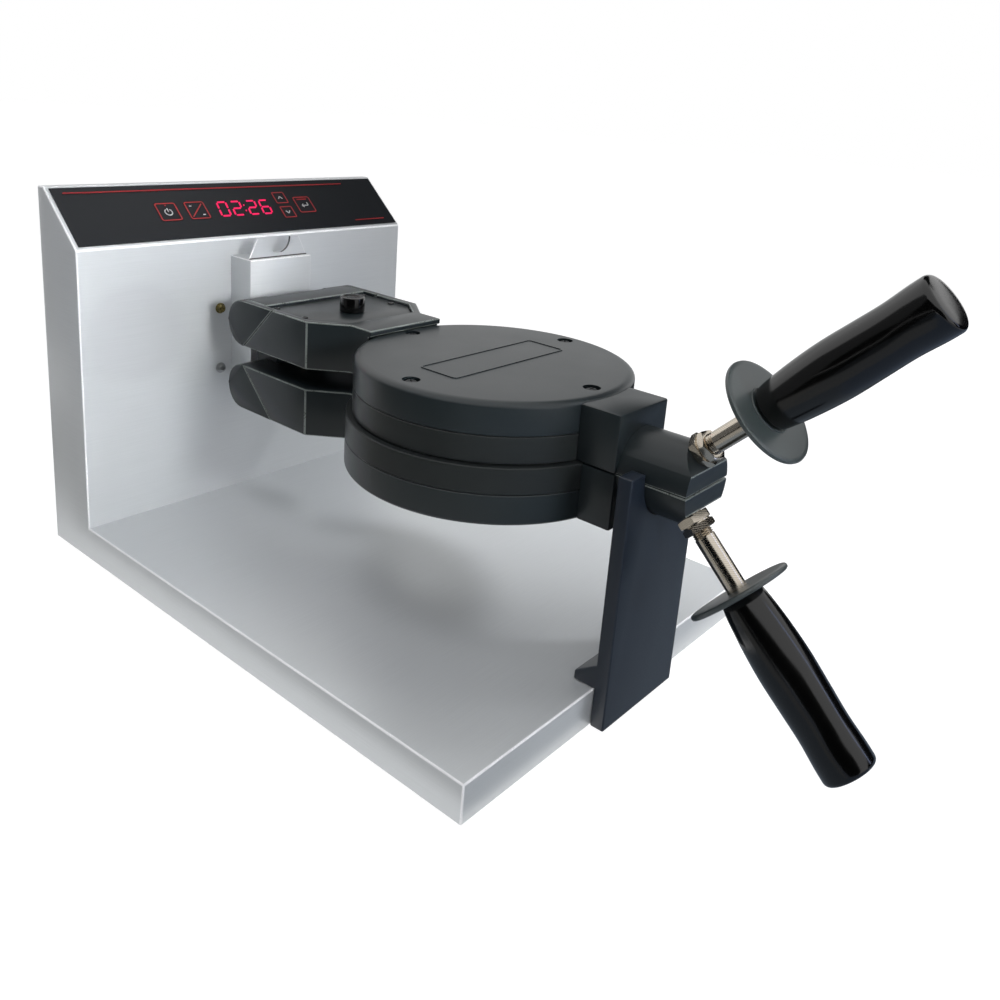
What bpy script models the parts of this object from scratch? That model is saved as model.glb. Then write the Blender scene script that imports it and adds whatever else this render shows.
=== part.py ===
"""Flip waffle maker: a steel body with a tower, and a round two-part baking head that turns over.

World frame: metres, +Z up, +Y towards the tower, the operator stands at -Y.
The origin is on the table, at the centre of the whole machine's footprint.
Sizes along Y are measured from the front of the steel body, sizes along Z from its lower edge,
and sizes of the head from its flip axis, which runs along Y.
"""
import math

import bmesh
import bpy
from mathutils import Matrix, Vector

# steel body
BODY_WIDTH = 0.305
TOWER_DEPTH = 0.052
BODY_HEIGHT = 0.272
WALL_HEIGHT = 0.2335
TOP_DEPTH = 0.008
TRAY_HEIGHT = 0.025
SHEET = 0.0015
FLANGE_WIDTH = 0.012
BODY_LIFT = 0.005
BEND_RADIUS = 0.0012

# fits shared by all pieces
GAP = 0.0003
OVERRUN = 0.004
BITE = 0.0006

# panels and feet
PANEL_THICKNESS = 0.0012
PANEL_INSET = 0.004
FOOT_RADIUS = 0.011
FOOT_INSET = 0.032
LOUVRE_LENGTH = 0.040
LOUVRE_HEIGHT = 0.004
LOUVRE_PITCH = 0.010
LOUVRE_SIDE_MARGIN = 0.0675
LOUVRE_Z = 0.175
LOUVRE_COUNT = 5

# flip axis and the bearing that carries it
AXIS_HEIGHT = 0.1546
SHAFT_RADIUS = 0.015
SHAFT_BORE = 0.010
SHAFT_SOCKET = 0.007
SHAFT_TAIL = 0.0380
BUSH_WALL = 0.003
BUSH_LENGTH = 0.010
BEARING_WALL = 0.0095
BEARING_FLANGE_HALF_WIDTH = 0.046
BEARING_FLANGE_HALF_HEIGHT = 0.032
BEARING_FLANGE_THICKNESS = 0.006
BEARING_LENGTH = 0.026
BEARING_BOLT_X = 0.039
BEARING_BOLT_Z = 0.0245
BEARING_BOLT_RADIUS = 0.0025
BEARING_BOLT_HEAD = 0.0040
BEARING_BOLT_HEAD_HEIGHT = 0.0040
STOP_PEG_RADIUS = 0.003
STOP_PEG_OFFSET = 0.0235
CAM_RADIUS = 0.027
CAM_THICKNESS = 0.004
CAM_HUB_RADIUS = 0.020
CAM_HUB_LENGTH = 0.004

# steel bracket in front of the tower wall
BRACKET_HALF_WIDTH = 0.029
BRACKET_REACH = 0.0264
BRACKET_SHEET = 0.002
BRACKET_DROP = 0.0336
BRACKET_RISE = 0.0659
BRACKET_FLANGE = 0.010
TAB_SETBACK = 0.0044
TAB_FOOT_HALF_WIDTH = 0.0275
TAB_HEIGHT = 0.0155
TAB_TOP_HALF_WIDTH = 0.0200
NOTCH_RADIUS = 0.0115
NOTCH_DEPTH = 0.0125

# control panel on the tower's slope, measured up the slope from the wall's top edge
OVERLAY_THICKNESS = 0.0008
OVERLAY_SIDE_MARGIN = 0.003
OVERLAY_LOW_MARGIN = 0.0028
OVERLAY_HIGH_MARGIN = 0.0026
KEY_DEPTH = 0.0066
KEY_TRAVEL = 0.0008
KEY_SKIRT = 0.0012
POWER_KEY_X = -0.0695
MODE_KEY_X = -0.0448
ENTER_KEY_X = 0.0592
WIDE_KEY_S = 0.0288
WIDE_KEY_SIZE = 0.0172
ARROW_KEY_X = 0.0383
UP_KEY_S = 0.0375
DOWN_KEY_S = 0.0219
ARROW_KEY_SIZE = 0.0122
DISPLAY_X = -0.0012
DISPLAY_S = 0.0290
DISPLAY_HALF_WIDTH = 0.0290
DISPLAY_HALF_HEIGHT = 0.0100
DISPLAY_DEPTH = 0.0080
BOARD_THICKNESS = 0.0016
BOARD_HALF_WIDTH = 0.088
BOARD_LOW_S = 0.010
BOARD_HIGH_S = 0.047
SWITCH_HALF_SIZE = 0.003
STANDOFF_RADIUS = 0.0030

# power parts inside the tower
POWER_BOARD_SIDE_MARGIN = 0.0575
POWER_BOARD_Z = 0.075
POWER_BOARD_HALF_WIDTH = 0.036
POWER_BOARD_HALF_HEIGHT = 0.045
POWER_BOARD_STANDOFF = 0.006
RELAY_HALF_WIDTH = 0.014
RELAY_HALF_HEIGHT = 0.010
RELAY_DEPTH = 0.016
INLET_SIDE_MARGIN = 0.0625
INLET_Z = 0.055
INLET_HALF_WIDTH = 0.0136
INLET_HALF_HEIGHT = 0.0099
INLET_DEPTH = 0.020
INLET_RIM = 0.0035
INLET_RIM_THICKNESS = 0.0025
INLET_WALL = 0.0022
INLET_POCKET = 0.015
BLADE_HALF_WIDTH = 0.001
BLADE_HALF_HEIGHT = 0.002
BLADE_LENGTH = 0.012
BLADE_SPACING = 0.0070

# baking head
HEAD_SETBACK = 0.0296
UPPER_RADIUS = 0.0915
LOWER_LEDGE = 0.0042
PARTING = 0.0003
PLATE_DEPTH = 0.0173
HEAD_HALF_DEPTH = 0.0374
RIM_BEVEL = 0.0060
RIM_BEVEL_DEPTH = 0.0036
COVER_WALL = 0.004
COVER_ROOF = 0.004
CAVITY_RIM = 0.0115
CAVITY_DEPTH = 0.0125
CAVITY_DRAFT = 0.0030
STUD_PITCH = 0.0235
STUD_FOOT = 0.0135
STUD_TIP = 0.0100
STUD_HEIGHT = 0.0098
SCREW_INSET = 0.0145
SCREW_HOLE_RADIUS = 0.0025
COUNTERBORE_RADIUS = 0.0056
COUNTERBORE_DEPTH = 0.0028
COVER_BOSS_RADIUS = 0.0062
HEATER_MARGIN = 0.0250
HEATER_TUBE = 0.0035
HEATER_GROOVE = 0.0012
HEATER_OPENING = math.radians(24)
PAD_MARGIN = 0.0028
PAD_THICKNESS = 0.0055

# front block, half collar and the chamfers that carry the handles
BLOCK_HALF_WIDTH = 0.0260
BLOCK_FRONT = 0.0098
BLOCK_HEIGHT = 0.0357
BLOCK_EDGE = 0.0015
COLLAR_RADIUS = 0.0240
COLLAR_FRONT = 0.0350
HANDLE_ANGLE = math.radians(44.3)
HANDLE_ROOT_Y = -0.0082
CHAMFER_REACH = 0.0275
ROD_RADIUS = 0.0062
ROD_SOCKET = 0.0120
NUT_RADIUS = 0.0105
NUT_HEIGHT = 0.0050
NUT_NECK = 0.0006
NUT_NECK_RADIUS = 0.0086
LOCK_NUT_RADIUS = 0.0098
LOCK_NUT_HEIGHT = 0.0045

# guard disc and grip, measured from the handle's root along its axis
GUARD_REACH = 0.0750
GUARD_RADIUS = 0.0308
GUARD_THICKNESS = 0.0032
GRIP_NECK_RADIUS = 0.0118
GRIP_SHOULDER_RADIUS = 0.0138
GRIP_BELLY_RADIUS = 0.0162
GRIP_WAIST_RADIUS = 0.0152
GRIP_END_RADIUS = 0.0158
GRIP_END = 0.1850
GRIP_SHOULDER_SHARE = 0.10
GRIP_BELLY_SHARE = 0.42
GRIP_WAIST_SHARE = 0.74
GRIP_END_SHARE = 0.965
GRIP_CAP_SHARE = 0.80
ROD_IN_GRIP = 0.060

# arms between the head and the hub
ARM_INNER = 0.0075
ARM_OUTER = 0.0419
ARM_HALF_WIDTH = 0.0535
ARM_NECK_HALF_WIDTH = 0.0340
ARM_TIP_OVERLAP = 0.0127
ARM_NECK_SHARE = 0.063
ARM_WAIST_SHARE = 0.285
ARM_TAIL = 0.0135
ARM_OUTER_RADIUS = 0.0160
ARM_INNER_RADIUS = 0.0170
ARM_RIM = 0.0060
ARM_FLOOR = 0.0040
ARM_LID_THICKNESS = 0.0025
ARM_LID_RECESS = 0.0022
ARM_LID_LEDGE = 0.0040
ARM_POCKET_SETBACK = 0.0250
CLEVIS_SETBACK = 0.0170
CLEVIS_ROOM = 0.0130
CLEVIS_ROOF_TAIL = 0.0015
STUD_POST_SHARE = 0.409
STUD_POST_RADIUS = 0.0092
STUD_POST_HEIGHT = 0.0115
STUD_STEM_RADIUS = 0.0040
STUD_STEM_LENGTH = 0.0070

# hinge that opens each half, and the hub that carries both
ARM_REACH = 0.2057
HINGE_SETBACK = 0.0460
HINGE_OFFSET = 0.0264
HINGE_PIN_RADIUS = 0.0040
CAP_THICKNESS = 0.0055
CAP_PIN_DEPTH = 0.0030
CAP_OUTER_REACH = 0.0395
CAP_INNER_REACH = 0.0050
HUB_HALF_WIDTH = 0.0280
KNUCKLE_RADIUS = 0.0125
HUB_FLANGE_RADIUS = 0.0255
HUB_FLANGE_TAIL = 0.0170
HUB_SIDE_GAP = 0.0006
HARNESS_RADIUS = 0.0045

# front post with its cradle
POST_HALF_WIDTH = 0.0390
POST_THICKNESS = 0.0094
POST_HORN = 0.0064
CRADLE_GAP = 0.0007
FOOT_REACH = 0.0145
FOOT_TIP_HEIGHT = 0.0060
FOOT_ROOT_HEIGHT = 0.0160

ROUND_STEPS = 48
MEDIUM_STEPS = 32
SMALL_STEPS = 16
TINY_STEPS = 12
HEXAGON_STEPS = 12
CORNER_STEPS = 2
SOFT_CORNER_STEPS = 3
FINE_CORNER_STEPS = 6
HALF_TURN_STEPS = 24
KNUCKLE_STEPS = 10
TUBE_SIDES = 8
HEATER_STEPS = 30
SHARP_ANGLE = math.radians(35)

LOWER_RADIUS = UPPER_RADIUS + LOWER_LEDGE
CAVITY_RADIUS = UPPER_RADIUS - CAVITY_RIM
SCREW_CIRCLE = UPPER_RADIUS - SCREW_INSET
HEATER_RING = SCREW_CIRCLE - HEATER_MARGIN
PAD_RADIUS = SCREW_CIRCLE - COVER_BOSS_RADIUS - PAD_MARGIN
HEAD_Y = HEAD_SETBACK + LOWER_RADIUS
HEAD_BACK_Y = HEAD_Y + LOWER_RADIUS
HINGE_Y = HEAD_Y + ARM_REACH
ARM_SPAN = HINGE_Y - HEAD_BACK_Y
ARM_TIP_Y = HEAD_BACK_Y - ARM_TIP_OVERLAP
ARM_NECK_Y = HEAD_BACK_Y + ARM_SPAN * ARM_NECK_SHARE
ARM_WAIST_Y = HEAD_BACK_Y + ARM_SPAN * ARM_WAIST_SHARE
STUD_POST_Y = HEAD_BACK_Y + ARM_SPAN * STUD_POST_SHARE
ARM_POCKET_BACK_Y = HINGE_Y - ARM_POCKET_SETBACK
CLEVIS_FRONT_Y = HINGE_Y - CLEVIS_SETBACK
CAP_SEAM_OUTER_Y = HINGE_Y - CAP_OUTER_REACH
CAP_SEAM_INNER_Y = HINGE_Y - CAP_INNER_REACH
SHAFT_FRONT = HINGE_Y + SHAFT_SOCKET
ARM_BACK_Y = HINGE_Y + ARM_TAIL
HUB_FLANGE_BACK_Y = HINGE_Y + HUB_FLANGE_TAIL
BASE_LENGTH = HINGE_Y + HINGE_SETBACK
SHAFT_BACK = BASE_LENGTH + SHAFT_TAIL
BRACKET_BOTTOM = AXIS_HEIGHT - BRACKET_DROP
BRACKET_TOP = AXIS_HEIGHT + BRACKET_RISE
TAB_TOP = BRACKET_TOP + TAB_HEIGHT
POST_HEIGHT = AXIS_HEIGHT + POST_HORN
POWER_BOARD_X = POWER_BOARD_SIDE_MARGIN - BODY_WIDTH / 2
LOUVRE_X = BODY_WIDTH / 2 - LOUVRE_SIDE_MARGIN
INLET_X = BODY_WIDTH / 2 - INLET_SIDE_MARGIN
GRIP_LENGTH = GRIP_END - GUARD_REACH
GRIP_PROFILE_SHARES = (
    (GRIP_NECK_RADIUS, 0.0),
    (GRIP_SHOULDER_RADIUS, GRIP_SHOULDER_SHARE),
    (GRIP_BELLY_RADIUS, GRIP_BELLY_SHARE),
    (GRIP_WAIST_RADIUS, GRIP_WAIST_SHARE),
    (GRIP_END_RADIUS, GRIP_END_SHARE),
    (GRIP_END_RADIUS * GRIP_CAP_SHARE, 1.0),
)
HANDLE_REACH = -HANDLE_ROOT_Y + max(
    (GUARD_REACH + GRIP_LENGTH * share) * math.cos(HANDLE_ANGLE) + radius * math.sin(HANDLE_ANGLE)
    for radius, share in GRIP_PROFILE_SHARES
)
BODY_DEPTH = BASE_LENGTH + TOWER_DEPTH
BACK_REACH = BODY_DEPTH + GAP + PANEL_THICKNESS + GAP + INLET_RIM_THICKNESS
FRONT_Y = (HANDLE_REACH - BACK_REACH) / 2
AXIS_Z = BODY_LIFT + AXIS_HEIGHT
SLOPE_ANGLE = math.atan2(BODY_HEIGHT - WALL_HEIGHT, TOWER_DEPTH - TOP_DEPTH)
SLOPE_LENGTH = math.hypot(BODY_HEIGHT - WALL_HEIGHT, TOWER_DEPTH - TOP_DEPTH)

for leftover in list(bpy.data.objects):
    bpy.data.objects.remove(leftover, do_unlink=True)


def material(name, colour, roughness, metallic):
    """A Principled material from an sRGB hex colour."""
    made = bpy.data.materials.new(name)
    made.use_nodes = True
    shader = made.node_tree.nodes["Principled BSDF"]
    channels = [int(colour[i : i + 2], 16) / 255 for i in (0, 2, 4)]
    linear = [c / 12.92 if c <= 0.04045 else ((c + 0.055) / 1.055) ** 2.4 for c in channels]
    shader.inputs["Base Color"].default_value = (*linear, 1.0)
    shader.inputs["Roughness"].default_value = roughness
    shader.inputs["Metallic"].default_value = metallic
    return made


STAINLESS = material("satin stainless steel", "c4c6c8", 0.32, 1.0)
ZINC = material("zinc plated steel", "a9a8a0", 0.40, 1.0)
NICKEL = material("nickel plated steel", "b9b2a4", 0.25, 1.0)
CAST_BLACK = material("black coated casting", "2b3033", 0.45, 0.2)
PLATE_BLACK = material("non-stick coated aluminium", "232627", 0.38, 0.3)
POST_BLACK = material("black painted steel", "2c333c", 0.42, 0.1)
BAKELITE = material("black bakelite", "0c0d0d", 0.12, 0.0)
GUARD_BLACK = material("black phenolic disc", "3a4141", 0.35, 0.0)
OVERLAY_BLACK = material("dark printed film", "2b2e33", 0.30, 0.0)
KEY_FILM = material("dark key film", "2d3035", 0.32, 0.0)
DISPLAY_RED = material("red display window", "3a1016", 0.15, 0.0)
BOARD_GREEN = material("green circuit board", "1f5a3a", 0.50, 0.0)
RUBBER = material("black rubber", "1c1c1c", 0.80, 0.0)
BRONZE = material("sintered bronze", "a5763f", 0.45, 0.9)
NYLON = material("natural nylon", "d8d4c4", 0.50, 0.0)
HEATER_STEEL = material("heater sheath", "6b6a66", 0.45, 0.9)
MINERAL_WOOL = material("mineral fibre board", "cbbf9f", 0.90, 0.0)
HARNESS_SLEEVE = material("glass fibre sleeve", "d9d3c3", 0.85, 0.0)
INLET_BLACK = material("black moulded inlet", "161616", 0.55, 0.0)


def along_x(y=0.0, z=0.0):
    """A frame whose third axis runs along +X, through a point of the side view."""
    return Matrix(((0, 0, 1, 0), (1, 0, 0, y), (0, 1, 0, z), (0, 0, 0, 1)))


def along_y(x=0.0, z=0.0):
    """A frame whose third axis runs along +Y, through a point of the front view."""
    return Matrix(((1, 0, 0, x), (0, 0, 1, 0), (0, -1, 0, z), (0, 0, 0, 1)))


def along_z(x=0.0, y=0.0):
    """A frame whose third axis runs along +Z, through a point of the plan."""
    return Matrix.Translation((x, y, 0))


def on_slope():
    """The control panel's frame: X to the right, second axis up the slope, third out of it."""
    tilt = Matrix.Rotation(SLOPE_ANGLE, 4, "X")
    return Matrix.Translation((0, from_front(BASE_LENGTH), above_body(WALL_HEIGHT))) @ tilt


def along_handle(side):
    """A handle's frame: the third axis leaves the flip axis towards the operator, up or down."""
    away = Vector((0, -math.cos(HANDLE_ANGLE), side * math.sin(HANDLE_ANGLE)))
    right = Vector((1, 0, 0))
    across = away.cross(right)
    root = Vector((0, from_front(HANDLE_ROOT_Y), AXIS_Z))
    frame = Matrix((right, across, away)).transposed().to_4x4()
    return Matrix.Translation(root) @ frame


def from_front(y):
    """World Y of a size measured from the front of the steel body."""
    return FRONT_Y + y


def above_body(z):
    """World Z of a size measured from the steel body's lower edge."""
    return BODY_LIFT + z


def above_axis(side, height):
    """World Z of a height above (side 1) or below (side -1) the flip axis."""
    return AXIS_Z + side * height


def finish(bm, name, finish_material, empty=None, smooth=False):
    """Close a bmesh into a named object, with its origin on its joint's empty."""
    bmesh.ops.remove_doubles(bm, verts=bm.verts, dist=GAP / ROUND_STEPS)
    bmesh.ops.dissolve_degenerate(bm, edges=bm.edges, dist=GAP / ROUND_STEPS)
    bmesh.ops.recalc_face_normals(bm, faces=bm.faces)
    mesh = bpy.data.meshes.new(name)
    bm.to_mesh(mesh)
    bm.free()
    made = bpy.data.objects.new(name, mesh)
    bpy.context.scene.collection.objects.link(made)
    if finish_material:
        mesh.materials.append(finish_material)
    if empty:
        mesh.transform(Matrix.Translation(-empty.location))
        made.parent = empty
    if smooth:
        mesh.shade_smooth()
        mesh.set_sharp_from_angle(angle=SHARP_ANGLE)
    return made


def add_prism(bm, outline, low, high, frame=Matrix.Identity(4)):
    """Extrude an outline of the frame's first two axes between two heights of its third."""
    face = bm.faces.new([bm.verts.new(frame @ Vector((a, b, low))) for a, b in outline])
    raised = bmesh.ops.extrude_face_region(bm, geom=[face])
    rise = (frame.to_3x3() @ Vector((0, 0, high - low)))
    moved = [v for v in raised["geom"] if isinstance(v, bmesh.types.BMVert)]
    bmesh.ops.translate(bm, verts=moved, vec=rise)


def add_turned(bm, profile, steps, frame=Matrix.Identity(4)):
    """Turn a closed profile of (radius, height) points about the frame's third axis."""
    ring = [bm.verts.new(frame @ Vector((radius, 0, height))) for radius, height in profile]
    edges = [bm.edges.new((ring[i - 1], ring[i])) for i in range(len(ring))]
    axis = frame.to_3x3() @ Vector((0, 0, 1))
    bmesh.ops.spin(
        bm,
        geom=ring + edges,
        cent=frame.translation,
        axis=axis,
        angle=math.tau,
        steps=steps,
        use_merge=True,
    )


def add_cylinder(bm, radius, low, high, steps, frame=Matrix.Identity(4)):
    """A plain round bar between two heights of the frame's third axis."""
    turn = [math.tau * i / steps for i in range(steps)]
    add_prism(bm, [(radius * math.cos(t), radius * math.sin(t)) for t in turn], low, high, frame)


def add_box(bm, low, high, frame=Matrix.Identity(4)):
    """A box between two corners of a frame."""
    outline = [(low[0], low[1]), (high[0], low[1]), (high[0], high[1]), (low[0], high[1])]
    add_prism(bm, outline, low[2], high[2], frame)


def solid(name, finish_material, add, *sizes, empty=None, smooth=False, **options):
    """One object from one shape function."""
    bm = bmesh.new()
    add(bm, *sizes, **options)
    return finish(bm, name, finish_material, empty, smooth)


def apply_boolean(target, other, operation, overlapping=False):
    """Cut, join or trim a target by a guide, whose own shapes may overlap."""
    step = target.modifiers.new(f"{operation.lower()} {other.name}", "BOOLEAN")
    step.operation = operation
    step.object = other
    step.solver = "EXACT"
    step.use_self = overlapping


def guide(name, add, *sizes, **options):
    """A cutter or a join piece, which is no part of the machine."""
    made = solid(name, None, add, *sizes, **options)
    made.hide_render = True
    made.display_type = "WIRE"
    return made


def guide_group(name, builder):
    """One hidden guide made of several separate shapes."""
    bm = bmesh.new()
    builder(bm)
    made = finish(bm, name, None)
    made.hide_render = True
    made.display_type = "WIRE"
    return made


def round_edges(made, width, steps=2):
    """Round an object's sharp edges."""
    step = made.modifiers.new("rounded edges", "BEVEL")
    step.width = width
    step.segments = steps
    step.limit_method = "ANGLE"
    step.angle_limit = SHARP_ANGLE


def joint_empty(name, location):
    """The empty that stands on a joint's axis."""
    made = bpy.data.objects.new(name, None)
    made.location = location
    bpy.context.scene.collection.objects.link(made)
    return made


def arc(centre, radius, start, end, steps):
    """Points of an arc, both ends included."""
    turns = [start + (end - start) * i / steps for i in range(steps + 1)]
    return [(centre[0] + radius * math.cos(t), centre[1] + radius * math.sin(t)) for t in turns]


def round_points(radius):
    """Points around a circle, as many as a hexagon's outline has."""
    turns = [math.tau * i / HEXAGON_STEPS for i in range(HEXAGON_STEPS)]
    return [(radius * math.cos(t), radius * math.sin(t)) for t in turns]


def hexagon_points(radius):
    """Points around a hexagon, as many as a round shank or bore has."""
    points = []
    for x, y in round_points(radius):
        turn = math.atan2(y, x)
        sector = (turn + math.pi / 6) % (math.pi / 3) - math.pi / 6
        share = math.cos(math.pi / 6) / math.cos(sector)
        points.append((x * share, y * share))
    return points


def add_loft(bm, sections, frame, ring=False):
    """Skin between outlines of equally many points; a ring closes on its first outline."""
    rows = [
        [bm.verts.new(frame @ Vector((x, y, height))) for x, y in points] for points, height in sections
    ]
    follow = rows[1:] + rows[:1] if ring else rows[1:]
    for one, other in zip(rows, follow):
        for i in range(len(one)):
            bm.faces.new((one[i - 1], one[i], other[i], other[i - 1]))
    if not ring:
        bm.faces.new(rows[0])
        bm.faces.new(rows[-1])


def rounded_rectangle(half_width, half_height, radius, steps):
    """Outline of a rectangle with round corners, about the frame's origin."""
    outline = []
    for quarter, (sx, sy) in enumerate(((1, 1), (-1, 1), (-1, -1), (1, -1))):
        centre = (sx * (half_width - radius), sy * (half_height - radius))
        outline += arc(centre, radius, quarter * math.pi / 2, (quarter + 1) * math.pi / 2, steps)
    return outline


# steel body


def body_outline(inset, skirt_drop, back_run):
    """The body's side view: tray, tower wall, slope and top, drawn in by the sheet."""
    slope_shift = inset * math.tan(SLOPE_ANGLE / 2)
    top_shift = inset * math.tan(SLOPE_ANGLE / 2)
    return [
        (from_front(inset), above_body(-skirt_drop)),
        (from_front(inset), above_body(TRAY_HEIGHT - inset)),
        (from_front(BASE_LENGTH + inset), above_body(TRAY_HEIGHT - inset)),
        (from_front(BASE_LENGTH + inset), above_body(WALL_HEIGHT - slope_shift)),
        (from_front(BODY_DEPTH - TOP_DEPTH + top_shift), above_body(BODY_HEIGHT - inset)),
        (from_front(BODY_DEPTH + back_run), above_body(BODY_HEIGHT - inset)),
        (from_front(BODY_DEPTH + back_run), above_body(-skirt_drop)),
    ]


def build_housing():
    """The folded steel body, open below and behind, with flanges for its two panels."""
    half = BODY_WIDTH / 2
    housing = solid(
        "housing", STAINLESS, add_prism, body_outline(0.0, 0.0, 0.0), -half, half, frame=along_x()
    )
    hollow = body_outline(SHEET, -SHEET, -SHEET)
    core = guide("cut_hollow", add_prism, hollow, SHEET - half, half - SHEET, frame=along_x())
    apply_boolean(housing, core, "DIFFERENCE")
    edge = SHEET + FLANGE_WIDTH
    low = (edge - half, from_front(edge), above_body(-OVERRUN))
    high = (half - edge, from_front(BODY_DEPTH + OVERRUN), above_body(2 * SHEET))
    apply_boolean(housing, guide("cut_underside", add_box, low, high), "DIFFERENCE")
    low = (edge - half, from_front(BODY_DEPTH - 2 * SHEET), above_body(SHEET))
    high = (half - edge, from_front(BODY_DEPTH + OVERRUN), above_body(BODY_HEIGHT - edge))
    apply_boolean(housing, guide("cut_back", add_box, low, high), "DIFFERENCE")

    def holes(bm):
        wall = (from_front(BASE_LENGTH - OVERRUN), from_front(BASE_LENGTH + SHEET + OVERRUN))
        add_cylinder(bm, SHAFT_RADIUS + BUSH_WALL, *wall, MEDIUM_STEPS, frame=along_y(z=AXIS_Z))
        for x, z in bearing_bolt_places():
            add_cylinder(bm, BEARING_BOLT_RADIUS + GAP, *wall, TINY_STEPS, frame=along_y(x, z))
        sheet = (-SHEET - OVERRUN, OVERRUN)
        for x, s, half_size in key_places().values():
            reach = half_size + GAP
            add_box(
                bm, (x - reach, s - reach, sheet[0]), (x + reach, s + reach, sheet[1]), frame=on_slope()
            )
        add_box(
            bm,
            (DISPLAY_X - DISPLAY_HALF_WIDTH - GAP, DISPLAY_S - DISPLAY_HALF_HEIGHT - GAP, sheet[0]),
            (DISPLAY_X + DISPLAY_HALF_WIDTH + GAP, DISPLAY_S + DISPLAY_HALF_HEIGHT + GAP, sheet[1]),
            frame=on_slope(),
        )

    apply_boolean(housing, guide_group("cut_holes", holes), "DIFFERENCE")


def build_panels():
    """The vented back panel, the bottom plate and the four feet."""
    half = BODY_WIDTH / 2 - PANEL_INSET
    back = (from_front(BODY_DEPTH + GAP), from_front(BODY_DEPTH + GAP + PANEL_THICKNESS))
    low_z = above_body(PANEL_INSET)
    high_z = above_body(BODY_HEIGHT - PANEL_INSET)
    panel = solid("back_panel", STAINLESS, add_box, (-half, back[0], low_z), (half, back[1], high_z))
    through = (back[0] - OVERRUN, back[1] + OVERRUN)

    def openings(bm):
        for side in (-1, 1):
            for row in range(LOUVRE_COUNT):
                x = side * LOUVRE_X
                z = above_body(LOUVRE_Z + row * LOUVRE_PITCH)
                slot = rounded_rectangle(
                    LOUVRE_LENGTH / 2, LOUVRE_HEIGHT / 2, LOUVRE_HEIGHT / 3, CORNER_STEPS
                )
                add_prism(bm, slot, *through, frame=along_y(x, z))
        mouth = rounded_rectangle(
            INLET_HALF_WIDTH + GAP, INLET_HALF_HEIGHT + GAP, INLET_WALL, CORNER_STEPS
        )
        add_prism(bm, mouth, *through, frame=along_y(INLET_X, above_body(INLET_Z)))

    apply_boolean(panel, guide_group("cut_back_openings", openings), "DIFFERENCE")
    floor = (above_body(-GAP - PANEL_THICKNESS), above_body(-GAP))
    plate_low = (-half, from_front(PANEL_INSET), floor[0])
    plate_high = (half, from_front(BODY_DEPTH - PANEL_INSET), floor[1])
    solid("bottom_plate", ZINC, add_box, plate_low, plate_high)

    foot_x = BODY_WIDTH / 2 - FOOT_INSET
    profile = [
        (0.0, 0.0),
        (FOOT_RADIUS - BEND_RADIUS, 0.0),
        (FOOT_RADIUS, floor[0] - GAP),
        (0.0, floor[0] - GAP),
    ]
    for row, y in (("front", from_front(FOOT_INSET)), ("rear", from_front(BODY_DEPTH - FOOT_INSET))):
        for column, x in (("left", -foot_x), ("right", foot_x)):
            place = along_z(x, y)
            solid(f"{row}_{column}_foot", RUBBER, add_turned, profile, SMALL_STEPS, place, smooth=True)


# control panel


def key_places():
    """Each key's centre on the slope and half its size."""
    wide = WIDE_KEY_SIZE / 2
    arrow = ARROW_KEY_SIZE / 2
    return {
        "power_key": (POWER_KEY_X, WIDE_KEY_S, wide),
        "mode_key": (MODE_KEY_X, WIDE_KEY_S, wide),
        "up_key": (ARROW_KEY_X, UP_KEY_S, arrow),
        "down_key": (ARROW_KEY_X, DOWN_KEY_S, arrow),
        "enter_key": (ENTER_KEY_X, WIDE_KEY_S, wide),
    }


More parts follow.
